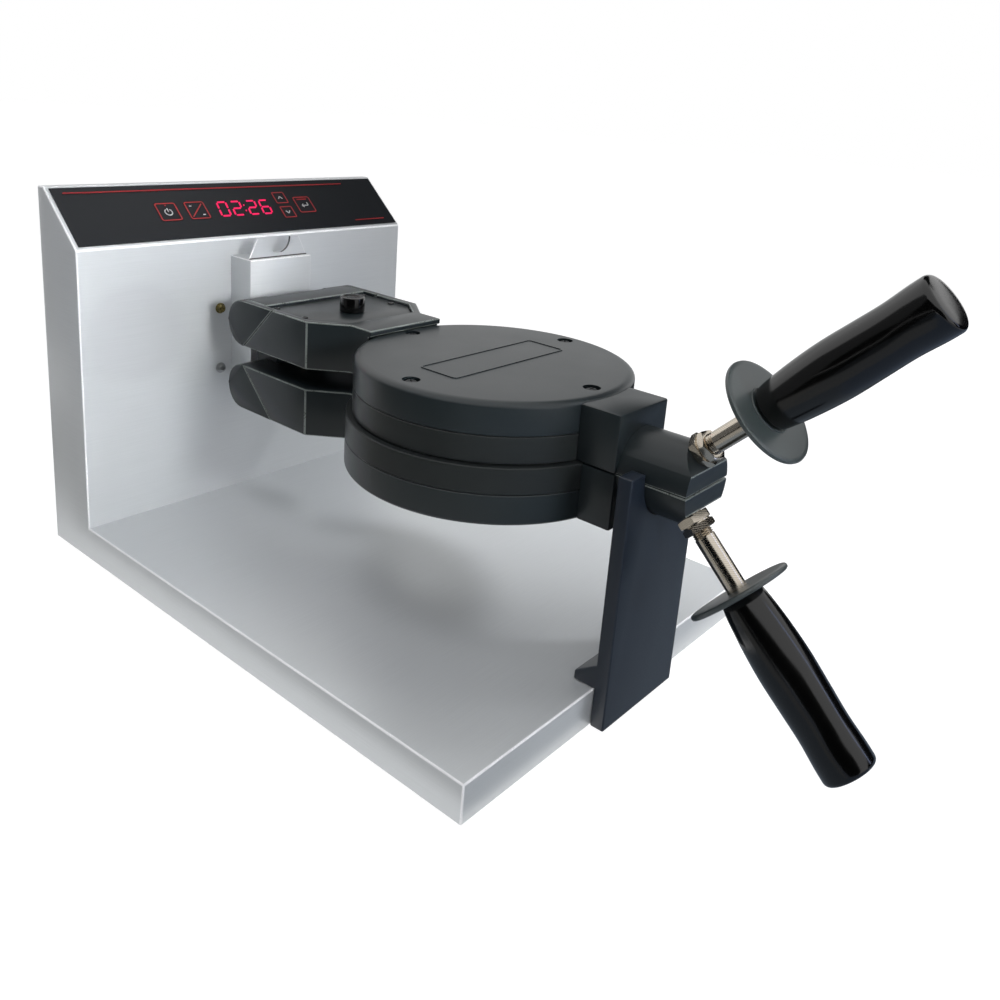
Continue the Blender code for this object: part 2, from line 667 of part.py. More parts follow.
def build_controls():
    """The film overlay, the five keys, the display and the circuit board behind them."""
    film = (GAP, GAP + OVERLAY_THICKNESS)
    side = BODY_WIDTH / 2 - OVERLAY_SIDE_MARGIN
    overlay = solid(
        "control_overlay",
        OVERLAY_BLACK,
        add_box,
        (-side, OVERLAY_LOW_MARGIN, film[0]),
        (side, SLOPE_LENGTH - OVERLAY_HIGH_MARGIN, film[1]),
        frame=on_slope(),
    )

    def windows(bm):
        for x, s, half_size in key_places().values():
            reach = half_size + GAP
            low = (x - reach, s - reach, film[0] - OVERRUN)
            high = (x + reach, s + reach, film[1] + OVERRUN)
            add_box(bm, low, high, frame=on_slope())

    apply_boolean(overlay, guide_group("cut_key_windows", windows), "DIFFERENCE")

    board_top = film[1] - KEY_DEPTH - KEY_TRAVEL - 2 * SWITCH_HALF_SIZE
    for name, (x, s, half_size) in key_places().items():
        empty = joint_empty(f"{name}_slide", on_slope() @ Vector((x, s, film[1])))
        face_low = (x - half_size, s - half_size, film[1] - KEY_DEPTH)
        face_high = (x + half_size, s + half_size, film[1])
        cap = solid(name, KEY_FILM, add_box, face_low, face_high, empty=empty, frame=on_slope())
        inside = half_size - KEY_SKIRT
        hollow_low = (x - inside, s - inside, film[1] - KEY_DEPTH - OVERRUN)
        hollow_high = (x + inside, s + inside, film[1] - OVERLAY_THICKNESS - KEY_SKIRT)
        hollow = guide(f"cut_{name}", add_box, hollow_low, hollow_high, frame=on_slope())
        apply_boolean(cap, hollow, "DIFFERENCE")
        stem_half = SWITCH_HALF_SIZE / 2
        stem_low = (x - stem_half, s - stem_half, film[1] - KEY_DEPTH)
        stem_high = (x + stem_half, s + stem_half, film[1] - OVERLAY_THICKNESS)
        stem = guide(f"join_{name}_stem", add_box, stem_low, stem_high, frame=on_slope())
        apply_boolean(cap, stem, "UNION")

    solid(
        "display_module",
        DISPLAY_RED,
        add_box,
        (DISPLAY_X - DISPLAY_HALF_WIDTH, DISPLAY_S - DISPLAY_HALF_HEIGHT, board_top + GAP),
        (DISPLAY_X + DISPLAY_HALF_WIDTH, DISPLAY_S + DISPLAY_HALF_HEIGHT, film[0] - GAP),
        frame=on_slope(),
    )

    board = solid(
        "control_board",
        BOARD_GREEN,
        add_box,
        (-BOARD_HALF_WIDTH, BOARD_LOW_S, board_top - BOARD_THICKNESS),
        (BOARD_HALF_WIDTH, BOARD_HIGH_S, board_top),
        frame=on_slope(),
    )

    def soldered(bm):
        for x, s, _ in key_places().values():
            reach = SWITCH_HALF_SIZE
            top = film[1] - KEY_DEPTH - KEY_TRAVEL - GAP
            add_box(
                bm,
                (x - reach, s - reach, board_top - BITE),
                (x + reach, s + reach, top),
                frame=on_slope(),
            )
        inset = 2 * STANDOFF_RADIUS
        for x in (inset - BOARD_HALF_WIDTH, BOARD_HALF_WIDTH - inset):
            place = on_slope() @ Matrix.Translation((x, BOARD_LOW_S + inset, 0))
            add_cylinder(bm, STANDOFF_RADIUS, board_top - BITE, -SHEET - GAP, TINY_STEPS, frame=place)
            place = on_slope() @ Matrix.Translation((x, BOARD_HIGH_S - inset, 0))
            add_cylinder(bm, STANDOFF_RADIUS, board_top - BITE, -SHEET - GAP, TINY_STEPS, frame=place)

    apply_boolean(board, guide_group("join_switches", soldered), "UNION")


# power parts


def build_power_parts():
    """The power board with its relays, and the mains inlet."""
    wall = from_front(BASE_LENGTH + SHEET)
    board_y = wall + GAP + POWER_BOARD_STANDOFF
    centre = (POWER_BOARD_X, above_body(POWER_BOARD_Z))
    board = solid(
        "power_board",
        BOARD_GREEN,
        add_prism,
        rounded_rectangle(
            POWER_BOARD_HALF_WIDTH, POWER_BOARD_HALF_HEIGHT, STANDOFF_RADIUS, CORNER_STEPS
        ),
        board_y,
        board_y + BOARD_THICKNESS,
        frame=along_y(*centre),
    )

    def parts(bm):
        relay_y = board_y + BOARD_THICKNESS - BITE
        for side in (-1, 1):
            x = POWER_BOARD_X + side * (RELAY_HALF_WIDTH + STANDOFF_RADIUS)
            z = centre[1] + POWER_BOARD_HALF_HEIGHT / 2
            low = (x - RELAY_HALF_WIDTH, relay_y, z - RELAY_HALF_HEIGHT)
            add_box(bm, low, (x + RELAY_HALF_WIDTH, relay_y + RELAY_DEPTH, z + RELAY_HALF_HEIGHT))
        inset = 2 * STANDOFF_RADIUS
        for sx in (-1, 1):
            for sz in (-1, 1):
                x = POWER_BOARD_X + sx * (POWER_BOARD_HALF_WIDTH - inset)
                z = centre[1] + sz * (POWER_BOARD_HALF_HEIGHT - inset)
                add_cylinder(
                    bm, STANDOFF_RADIUS, wall + GAP, board_y + BITE, TINY_STEPS, frame=along_y(x, z)
                )

    apply_boolean(board, guide_group("join_relays", parts), "UNION")

    seat = from_front(BODY_DEPTH + GAP + PANEL_THICKNESS) + GAP
    place = along_y(INLET_X, above_body(INLET_Z))
    rim = rounded_rectangle(
        INLET_HALF_WIDTH + INLET_RIM, INLET_HALF_HEIGHT + INLET_RIM, INLET_RIM, SOFT_CORNER_STEPS
    )
    inlet = solid(
        "mains_inlet", INLET_BLACK, add_prism, rim, seat, seat + INLET_RIM_THICKNESS, frame=place
    )
    body = rounded_rectangle(INLET_HALF_WIDTH, INLET_HALF_HEIGHT, INLET_WALL, CORNER_STEPS)
    shell = guide("join_inlet_body", add_prism, body, seat - INLET_DEPTH, seat + BITE, frame=place)
    apply_boolean(inlet, shell, "UNION")
    mouth = rounded_rectangle(
        INLET_HALF_WIDTH - INLET_WALL, INLET_HALF_HEIGHT - INLET_WALL, INLET_WALL / 2, 2
    )
    outer = seat + INLET_RIM_THICKNESS + OVERRUN
    pocket = guide("cut_inlet_mouth", add_prism, mouth, seat - INLET_POCKET, outer, frame=place)
    apply_boolean(inlet, pocket, "DIFFERENCE")

    def blades(bm):
        for x, drop in ((-BLADE_SPACING, -1), (0.0, 1), (BLADE_SPACING, -1)):
            z = above_body(INLET_Z) + drop * BLADE_HALF_HEIGHT
            base = seat - INLET_POCKET - BITE
            low_corner = (INLET_X + x - BLADE_HALF_WIDTH, base, z - BLADE_HALF_HEIGHT)
            high_corner = (INLET_X + x + BLADE_HALF_WIDTH, base + BLADE_LENGTH, z + BLADE_HALF_HEIGHT)
            add_box(bm, low_corner, high_corner)

    apply_boolean(inlet, guide_group("join_blades", blades), "UNION")


# flip bearing


BEARING_BOLT_NAMES = ("left_low_bolt", "left_high_bolt", "right_low_bolt", "right_high_bolt")


def bearing_bolt_places():
    """The four bolts beside the shaft, in the order of their names."""
    return [(sx * BEARING_BOLT_X, AXIS_Z + sz * BEARING_BOLT_Z) for sx in (-1, 1) for sz in (-1, 1)]


def build_bearing():
    """The flanged bearing inside the tower, its bushes and bolts, and the bracket outside."""
    wall_in = from_front(BASE_LENGTH + SHEET) + GAP
    flange = rounded_rectangle(
        BEARING_FLANGE_HALF_WIDTH, BEARING_FLANGE_HALF_HEIGHT, 2 * BEARING_BOLT_RADIUS, 3
    )
    place = along_y(z=AXIS_Z)
    flange_back = wall_in + BEARING_FLANGE_THICKNESS
    bearing = solid("bearing_housing", CAST_BLACK, add_prism, flange, wall_in, flange_back, frame=place)
    bush_radius = SHAFT_RADIUS + GAP + BUSH_WALL
    bore = bush_radius + GAP
    barrel_end = wall_in + BEARING_LENGTH
    barrel = guide(
        "join_barrel",
        add_cylinder,
        bore + BEARING_WALL,
        wall_in + BITE,
        barrel_end,
        MEDIUM_STEPS,
        frame=place,
    )
    apply_boolean(bearing, barrel, "UNION")
    peg_end = barrel_end + 2 * GAP + CAM_THICKNESS
    peg_place = along_y(STOP_PEG_OFFSET, AXIS_Z)
    peg = guide(
        "join_stop_peg",
        add_cylinder,
        STOP_PEG_RADIUS,
        barrel_end - BITE,
        peg_end,
        SMALL_STEPS,
        frame=peg_place,
    )
    apply_boolean(bearing, peg, "UNION")

    def bearing_holes(bm):
        add_cylinder(bm, bore, wall_in - OVERRUN, barrel_end + OVERRUN, MEDIUM_STEPS, frame=place)
        for x, z in bearing_bolt_places():
            far = flange_back + OVERRUN
            add_cylinder(
                bm, BEARING_BOLT_RADIUS + GAP, wall_in - OVERRUN, far, TINY_STEPS, frame=along_y(x, z)
            )

    apply_boolean(bearing, guide_group("cut_bearing", bearing_holes), "DIFFERENCE")

    inner = SHAFT_RADIUS + GAP
    for name, start in (("front_bush", wall_in), ("rear_bush", barrel_end - BUSH_LENGTH)):
        end = start + BUSH_LENGTH
        ring = [(inner, start), (bush_radius, start), (bush_radius, end), (inner, end)]
        solid(name, BRONZE, add_turned, ring, MEDIUM_STEPS, place, smooth=True)

    seat = from_front(BASE_LENGTH) - GAP
    head = hexagon_points(BEARING_BOLT_HEAD)
    shank = round_points(BEARING_BOLT_RADIUS)
    sections = [
        (head, seat - BEARING_BOLT_HEAD_HEIGHT), (head, seat), (shank, seat), (shank, flange_back)
    ]
    for name, (x, z) in zip(BEARING_BOLT_NAMES, bearing_bolt_places()):
        solid(name, NICKEL, add_loft, sections, along_y(x, z))

    front = from_front(BASE_LENGTH - BRACKET_REACH)
    back = from_front(BASE_LENGTH) - GAP
    low_z = above_body(BRACKET_BOTTOM)
    high_z = above_body(BRACKET_TOP)
    outer = BRACKET_HALF_WIDTH
    bracket = solid("bearing_bracket", STAINLESS, add_box, (-outer, front, low_z), (outer, back, high_z))
    tab_z = above_body(TAB_TOP)
    join_z = high_z - BRACKET_SHEET
    foot = TAB_FOOT_HALF_WIDTH
    tab_outline = [(-foot, -join_z), (foot, -join_z), (foot, -high_z), (TAB_TOP_HALF_WIDTH, -tab_z)]
    tab_outline += [(-TAB_TOP_HALF_WIDTH, -tab_z), (-foot, -high_z)]
    tab_front = front + TAB_SETBACK
    tab = guide(
        "join_tab", add_prism, tab_outline, tab_front, tab_front + BRACKET_SHEET, frame=along_y()
    )
    apply_boolean(bracket, tab, "UNION")

    def bracket_cuts(bm):
        inner = outer - BRACKET_SHEET
        deep = back - BRACKET_SHEET
        roof = high_z - BRACKET_SHEET
        add_box(bm, (-inner, front + BRACKET_SHEET, low_z - OVERRUN), (inner, deep, roof))
        slot = inner - BRACKET_FLANGE
        add_box(
            bm,
            (-slot, deep - BRACKET_SHEET, low_z - OVERRUN),
            (slot, back + OVERRUN, roof - BRACKET_FLANGE),
        )

    apply_boolean(bracket, guide_group("cut_bracket", bracket_cuts), "DIFFERENCE", overlapping=True)

    def bracket_holes(bm):
        through = (front - OVERRUN, front + TAB_SETBACK + BRACKET_SHEET + OVERRUN)
        add_cylinder(bm, SHAFT_RADIUS + BUSH_WALL, *through, MEDIUM_STEPS, frame=along_y(z=AXIS_Z))
        notch_z = tab_z - NOTCH_DEPTH + NOTCH_RADIUS
        notch = arc((0.0, -notch_z), NOTCH_RADIUS, 0.0, math.pi, HEXAGON_STEPS)
        notch = [(x, z) for x, z in notch] + [
            (-NOTCH_RADIUS, -tab_z - OVERRUN), (NOTCH_RADIUS, -tab_z - OVERRUN)
        ]
        add_prism(bm, notch, *through, frame=along_y())

    apply_boolean(bracket, guide_group("cut_bracket_holes", bracket_holes), "DIFFERENCE")


# rotor


def build_rotor(empty):
    """The hub, the hollow shaft, the stop cam that retains it and the wires through them."""
    pins = [(from_front(HINGE_Y), above_axis(side, HINGE_OFFSET)) for side in (1, -1)]
    knuckles = arc(pins[0], KNUCKLE_RADIUS, 0.0, math.pi, KNUCKLE_STEPS)
    knuckles += arc(pins[1], KNUCKLE_RADIUS, math.pi, math.tau, KNUCKLE_STEPS)
    half = HUB_HALF_WIDTH
    hub = solid("hub", CAST_BLACK, add_prism, knuckles, -half, half, empty=empty, frame=along_x())
    place = along_y(z=AXIS_Z)
    hub_back = from_front(HINGE_Y) + KNUCKLE_RADIUS
    flange_back = from_front(HUB_FLANGE_BACK_Y)
    flange = guide(
        "join_hub_flange",
        add_cylinder,
        HUB_FLANGE_RADIUS,
        hub_back - 4 * BITE,
        flange_back,
        MEDIUM_STEPS,
        frame=place,
    )
    apply_boolean(hub, flange, "UNION")
    shaft_front = from_front(SHAFT_FRONT)
    hub_front = from_front(HINGE_Y) - KNUCKLE_RADIUS

    def hub_holes(bm):
        add_cylinder(
            bm, SHAFT_RADIUS + GAP, shaft_front - GAP, flange_back + OVERRUN, MEDIUM_STEPS, frame=place
        )
        add_cylinder(
            bm, HARNESS_RADIUS + GAP, hub_front - OVERRUN, shaft_front, SMALL_STEPS, frame=place
        )
        for side in (-1, 1):
            pin_line = along_x(from_front(HINGE_Y), above_axis(side, HINGE_OFFSET))
            reach = half + OVERRUN
            add_cylinder(bm, HINGE_PIN_RADIUS + GAP, -reach, reach, SMALL_STEPS, frame=pin_line)

    apply_boolean(hub, guide_group("cut_hub", hub_holes), "DIFFERENCE", overlapping=True)

    shaft_back = from_front(SHAFT_BACK)
    tube = [
        (SHAFT_BORE, shaft_front),
        (SHAFT_RADIUS, shaft_front),
        (SHAFT_RADIUS, shaft_back),
        (SHAFT_BORE, shaft_back),
    ]
    solid("flip_shaft", NICKEL, add_turned, tube, MEDIUM_STEPS, place, empty=empty, smooth=True)

    barrel_end = from_front(BASE_LENGTH + SHEET) + GAP + BEARING_LENGTH
    spread = math.asin((STOP_PEG_RADIUS + GAP) / STOP_PEG_OFFSET)
    inner = arc((0.0, 0.0), SHAFT_RADIUS + GAP, -spread, spread - math.pi, HALF_TURN_STEPS)
    outer = arc((0.0, 0.0), CAM_RADIUS, spread - math.pi, -spread, HALF_TURN_STEPS)
    cam_start = barrel_end + GAP
    cam = solid(
        "stop_cam",
        ZINC,
        add_prism,
        inner + outer,
        cam_start,
        cam_start + CAM_THICKNESS,
        frame=place,
        empty=empty,
    )
    hub_start = cam_start + CAM_THICKNESS - BITE
    hub_end = cam_start + CAM_THICKNESS + CAM_HUB_LENGTH
    bore = SHAFT_RADIUS + GAP
    ring = [(bore, hub_start), (CAM_HUB_RADIUS, hub_start), (CAM_HUB_RADIUS, hub_end), (bore, hub_end)]
    apply_boolean(cam, guide("join_cam_hub", add_turned, ring, MEDIUM_STEPS, place), "UNION")
    wires = (hub_front + 4 * BITE, shaft_back - BITE)
    solid(
        "shaft_harness",
        HARNESS_SLEEVE,
        add_cylinder,
        HARNESS_RADIUS,
        *wires,
        SMALL_STEPS,
        frame=place,
        empty=empty,
    )


# the two halves of the head


def build_half(prefix, side, radius, empty):
    """One half: its plate, heater, pad, cover, front block, handle and arm."""
    place = along_z(0.0, from_front(HEAD_Y)) @ Matrix.Translation((0, 0, AXIS_Z)) @ Matrix.Scale(
        side, 4, (0, 0, 1)
    )
    build_plate(prefix, radius, empty, place)
    build_cover(prefix, radius, empty, place)
    build_block(prefix, side, radius, empty)
    build_handle(prefix, side, empty)
    build_arm(prefix, side, radius, empty)


def screw_angles():
    """The cover's four screws stand left, right, front and back."""
    return [math.tau * i / 4 for i in range(4)]


def build_plate(prefix, radius, empty, place):
    """The grid plate: a round cavity with a field of tapered studs, and the heater on its back."""
    floor = PARTING + CAVITY_DEPTH
    profile = [
        (0.0, floor),
        (CAVITY_RADIUS - CAVITY_DRAFT, floor),
        (CAVITY_RADIUS, PARTING),
        (radius, PARTING),
        (radius, PLATE_DEPTH - GAP),
        (0.0, PLATE_DEPTH - GAP),
    ]
    plate = solid(
        f"{prefix}_plate",
        PLATE_BLACK,
        add_turned,
        profile,
        ROUND_STEPS,
        place,
        empty=empty,
        smooth=True,
    )

    def studs(bm):
        half_count = int(CAVITY_RADIUS / STUD_PITCH)
        for i in range(-half_count, half_count):
            for j in range(-half_count, half_count):
                x = (i + 0.5) * STUD_PITCH
                y = (j + 0.5) * STUD_PITCH
                if math.hypot(x, y) + STUD_FOOT / 2 < CAVITY_RADIUS - CAVITY_DRAFT:
                    add_stud(bm, x, y, floor, place)

    apply_boolean(plate, guide_group(f"join_{prefix}_studs", studs), "UNION")
    back = PLATE_DEPTH - GAP
    groove_half = HEATER_TUBE + GAP
    groove_profile = [
        (HEATER_RING - groove_half, back - HEATER_GROOVE - GAP),
        (HEATER_RING + groove_half, back - HEATER_GROOVE - GAP),
        (HEATER_RING + groove_half, back + OVERRUN),
        (HEATER_RING - groove_half, back + OVERRUN),
    ]
    groove = guide(f"cut_{prefix}_groove", add_turned, groove_profile, ROUND_STEPS, place)
    apply_boolean(plate, groove, "DIFFERENCE")

    low = back - HEATER_GROOVE + HEATER_TUBE
    span = math.tau - HEATER_OPENING
    bm = bmesh.new()
    rings = []
    for i in range(HEATER_STEPS + 1):
        turn = math.pi / 2 + HEATER_OPENING / 2 + span * i / HEATER_STEPS
        centre = Vector((HEATER_RING * math.cos(turn), HEATER_RING * math.sin(turn), low))
        outward = Vector((math.cos(turn), math.sin(turn), 0))
        circle = [math.tau * k / TUBE_SIDES for k in range(TUBE_SIDES)]
        offsets = [outward * math.cos(c) + Vector((0, 0, math.sin(c))) for c in circle]
        points = [centre + HEATER_TUBE * offset for offset in offsets]
        rings.append([bm.verts.new(place @ p) for p in points])
    for one, other in zip(rings, rings[1:]):
        for k in range(TUBE_SIDES):
            bm.faces.new((one[k - 1], one[k], other[k], other[k - 1]))
    bm.faces.new(rings[0])
    bm.faces.new(rings[-1])
    finish(bm, f"{prefix}_heater", HEATER_STEEL, empty, smooth=True)


def add_stud(bm, x, y, floor, place):
    """One tapered stud that stands on the cavity's floor."""
    foot = STUD_FOOT / 2
    tip = STUD_TIP / 2
    corners = ((-1, -1), (1, -1), (1, 1), (-1, 1))
    rows = []
    for reach, height in ((foot, floor + BITE), (tip, floor - STUD_HEIGHT)):
        points = [Vector((x + a * reach, y + b * reach, height)) for a, b in corners]
        rows.append([bm.verts.new(place @ point) for point in points])
    low, high = rows
    for i in range(4):
        bm.faces.new((low[i - 1], low[i], high[i], high[i - 1]))
    bm.faces.new(low)
    bm.faces.new(high)


def build_cover(prefix, radius, empty, place):
    """The insulated cover over the plate, with its four sunk screw holes, and its pad."""
    top = HEAD_HALF_DEPTH
    inner = radius - COVER_WALL
    profile = [(0.0, top), (radius - RIM_BEVEL, top)]
    profile += [
        (radius - RIM_BEVEL + RIM_BEVEL * math.sin(t), top - RIM_BEVEL_DEPTH * (1 - math.cos(t)))
        for t in (math.pi / 6, math.pi / 3, math.pi / 2)
    ]
    profile += [
        (radius, PLATE_DEPTH), (inner, PLATE_DEPTH), (inner, top - COVER_ROOF), (0.0, top - COVER_ROOF)
    ]
    cover = solid(
        f"{prefix}_cover", CAST_BLACK, add_turned, profile, ROUND_STEPS, place, empty=empty, smooth=True
    )
    spots = [Vector((SCREW_CIRCLE * math.cos(t), SCREW_CIRCLE * math.sin(t), 0)) for t in screw_angles()]

    def bosses(bm):
        for spot in spots:
            frame = place @ Matrix.Translation(spot)
            add_cylinder(
                bm, COVER_BOSS_RADIUS, PLATE_DEPTH, top - COVER_ROOF + BITE, TINY_STEPS, frame=frame
            )

    apply_boolean(cover, guide_group(f"join_{prefix}_bosses", bosses), "UNION")

    def screw_holes(bm):
        for spot in spots:
            frame = place @ Matrix.Translation(spot)
            profile = [
                (0.0, PLATE_DEPTH - OVERRUN),
                (SCREW_HOLE_RADIUS, PLATE_DEPTH - OVERRUN),
                (SCREW_HOLE_RADIUS, top - COUNTERBORE_DEPTH),
                (COUNTERBORE_RADIUS, top - COUNTERBORE_DEPTH),
                (COUNTERBORE_RADIUS, top + OVERRUN),
                (0.0, top + OVERRUN),
            ]
            add_turned(bm, profile, TINY_STEPS, frame)

    apply_boolean(cover, guide_group(f"cut_{prefix}_screw_holes", screw_holes), "DIFFERENCE")

    pad_high = top - COVER_ROOF - GAP
    pad = (PAD_RADIUS, pad_high - PAD_THICKNESS, pad_high, MEDIUM_STEPS)
    solid(f"{prefix}_pad", MINERAL_WOOL, add_cylinder, *pad, frame=place, empty=empty)


def build_block(prefix, side, radius, empty):
    """The front block with its half collar, whose chamfered end carries the handle."""
    low, high = sorted((above_axis(side, PARTING), above_axis(side, BLOCK_HEIGHT)))
    back = from_front(HEAD_Y) - math.sqrt(radius**2 - BLOCK_HALF_WIDTH**2)
    block = solid(
        f"{prefix}_block",
        CAST_BLACK,
        add_box,
        (-BLOCK_HALF_WIDTH, from_front(BLOCK_FRONT), low),
        (BLOCK_HALF_WIDTH, back, high),
        empty=empty,
    )
    round_edges(block, BLOCK_EDGE)
    start, end = (math.pi, math.tau) if side > 0 else (0.0, math.pi)
    shift = side * PARTING
    half_round = arc((0.0, 0.0), COLLAR_RADIUS, start, end, HALF_TURN_STEPS)
    half_round = [(x, z if abs(z) > PARTING else -shift) for x, z in half_round]
    place = along_y(z=AXIS_Z)
    reach = (from_front(-COLLAR_FRONT), from_front(BLOCK_FRONT) + 2 * BLOCK_EDGE)
    collar = guide(f"join_{prefix}_collar", add_prism, half_round, *reach, frame=place)
    apply_boolean(block, collar, "UNION")
    depth = BLOCK_HEIGHT + OVERRUN
    wall = (radius + GAP, -depth, depth, 2 * ROUND_STEPS)
    head_cut = guide(f"cut_{prefix}_block_back", add_cylinder, *wall, frame=place_head())
    apply_boolean(block, head_cut, "DIFFERENCE")

    def chamfer_and_socket(bm):
        reach = 3 * COLLAR_RADIUS
        add_box(bm, (-reach, -reach, CHAMFER_REACH), (reach, reach, reach), frame=along_handle(side))
        bottom = CHAMFER_REACH - ROD_SOCKET - GAP
        add_cylinder(
            bm, ROD_RADIUS + GAP, bottom, CHAMFER_REACH + BITE, SMALL_STEPS, frame=along_handle(side)
        )

    cutter = guide_group(f"cut_{prefix}_chamfer", chamfer_and_socket)
    apply_boolean(block, cutter, "DIFFERENCE", overlapping=True)


def place_head():
    """The head's vertical frame, at the height of the flip axis."""
    return Matrix.Translation((0, from_front(HEAD_Y), AXIS_Z))


def build_handle(prefix, side, empty):
    """Rod, two nuts, guard disc and grip on one slanted axis."""
    frame = along_handle(side)
    nut_low = CHAMFER_REACH + GAP
    nut_high = nut_low + NUT_HEIGHT
    lock_high = nut_high + NUT_NECK + LOCK_NUT_HEIGHT
    rod_span = (CHAMFER_REACH - ROD_SOCKET, GUARD_REACH + ROD_IN_GRIP)
    solid(
        f"{prefix}_handle_rod",
        NICKEL,
        add_cylinder,
        ROD_RADIUS,
        *rod_span,
        SMALL_STEPS,
        frame=frame,
        empty=empty,
        smooth=True,
    )

    bore = ROD_RADIUS + GAP
    sections = [(hexagon_points(NUT_RADIUS), nut_low), (hexagon_points(NUT_RADIUS), nut_high)]
    sections += [
        (round_points(NUT_NECK_RADIUS), nut_high), (round_points(NUT_NECK_RADIUS), nut_high + NUT_NECK)
    ]
    sections += [
        (hexagon_points(LOCK_NUT_RADIUS), nut_high + NUT_NECK),
        (hexagon_points(LOCK_NUT_RADIUS), lock_high),
    ]
    sections += [(round_points(bore), lock_high), (round_points(bore), nut_low)]
    solid(f"{prefix}_lock_nuts", NICKEL, add_loft, sections, frame, empty=empty, ring=True)
    disc = [
        (bore, GUARD_REACH),
        (GUARD_RADIUS - GUARD_THICKNESS / 3, GUARD_REACH),
        (GUARD_RADIUS, GUARD_REACH + GUARD_THICKNESS / 2),
        (GUARD_RADIUS - GUARD_THICKNESS / 3, GUARD_REACH + GUARD_THICKNESS),
        (bore, GUARD_REACH + GUARD_THICKNESS),
    ]
    solid(
        f"{prefix}_guard", GUARD_BLACK, add_turned, disc, MEDIUM_STEPS, frame, empty=empty, smooth=True
    )
    start = GUARD_REACH + GUARD_THICKNESS + GAP
    rod_end = GUARD_REACH + ROD_IN_GRIP + GAP
    outside = [
        (radius, max(start, GUARD_REACH + GRIP_LENGTH * share)) for radius, share in GRIP_PROFILE_SHARES
    ]
    profile = [(bore, start)] + outside + [(0.0, GRIP_END), (0.0, rod_end), (bore, rod_end)]
    solid(f"{prefix}_grip", BAKELITE, add_turned, profile, MEDIUM_STEPS, frame, empty=empty, smooth=True)


def arm_side(side):
    """The arm's side view, with its two rounded back corners."""
    inner = above_axis(side, ARM_INNER)
    outer = above_axis(side, ARM_OUTER)
    back = from_front(ARM_BACK_Y)
    tip = from_front(ARM_TIP_Y) - OVERRUN
    outline = [(tip, inner)]
    turns = [math.pi / 2 * i / FINE_CORNER_STEPS for i in range(FINE_CORNER_STEPS + 1)]
    for t in turns:
        y = back - ARM_INNER_RADIUS + ARM_INNER_RADIUS * math.sin(t)
        outline.append((y, inner + side * ARM_INNER_RADIUS * (1 - math.cos(t))))
    for t in turns[:-1]:
        y = back - ARM_OUTER_RADIUS + ARM_OUTER_RADIUS * math.cos(t)
        outline.append((y, outer - side * ARM_OUTER_RADIUS * (1 - math.sin(t))))
    outline += [(back - ARM_OUTER_RADIUS, outer), (tip, outer)]
    return outline


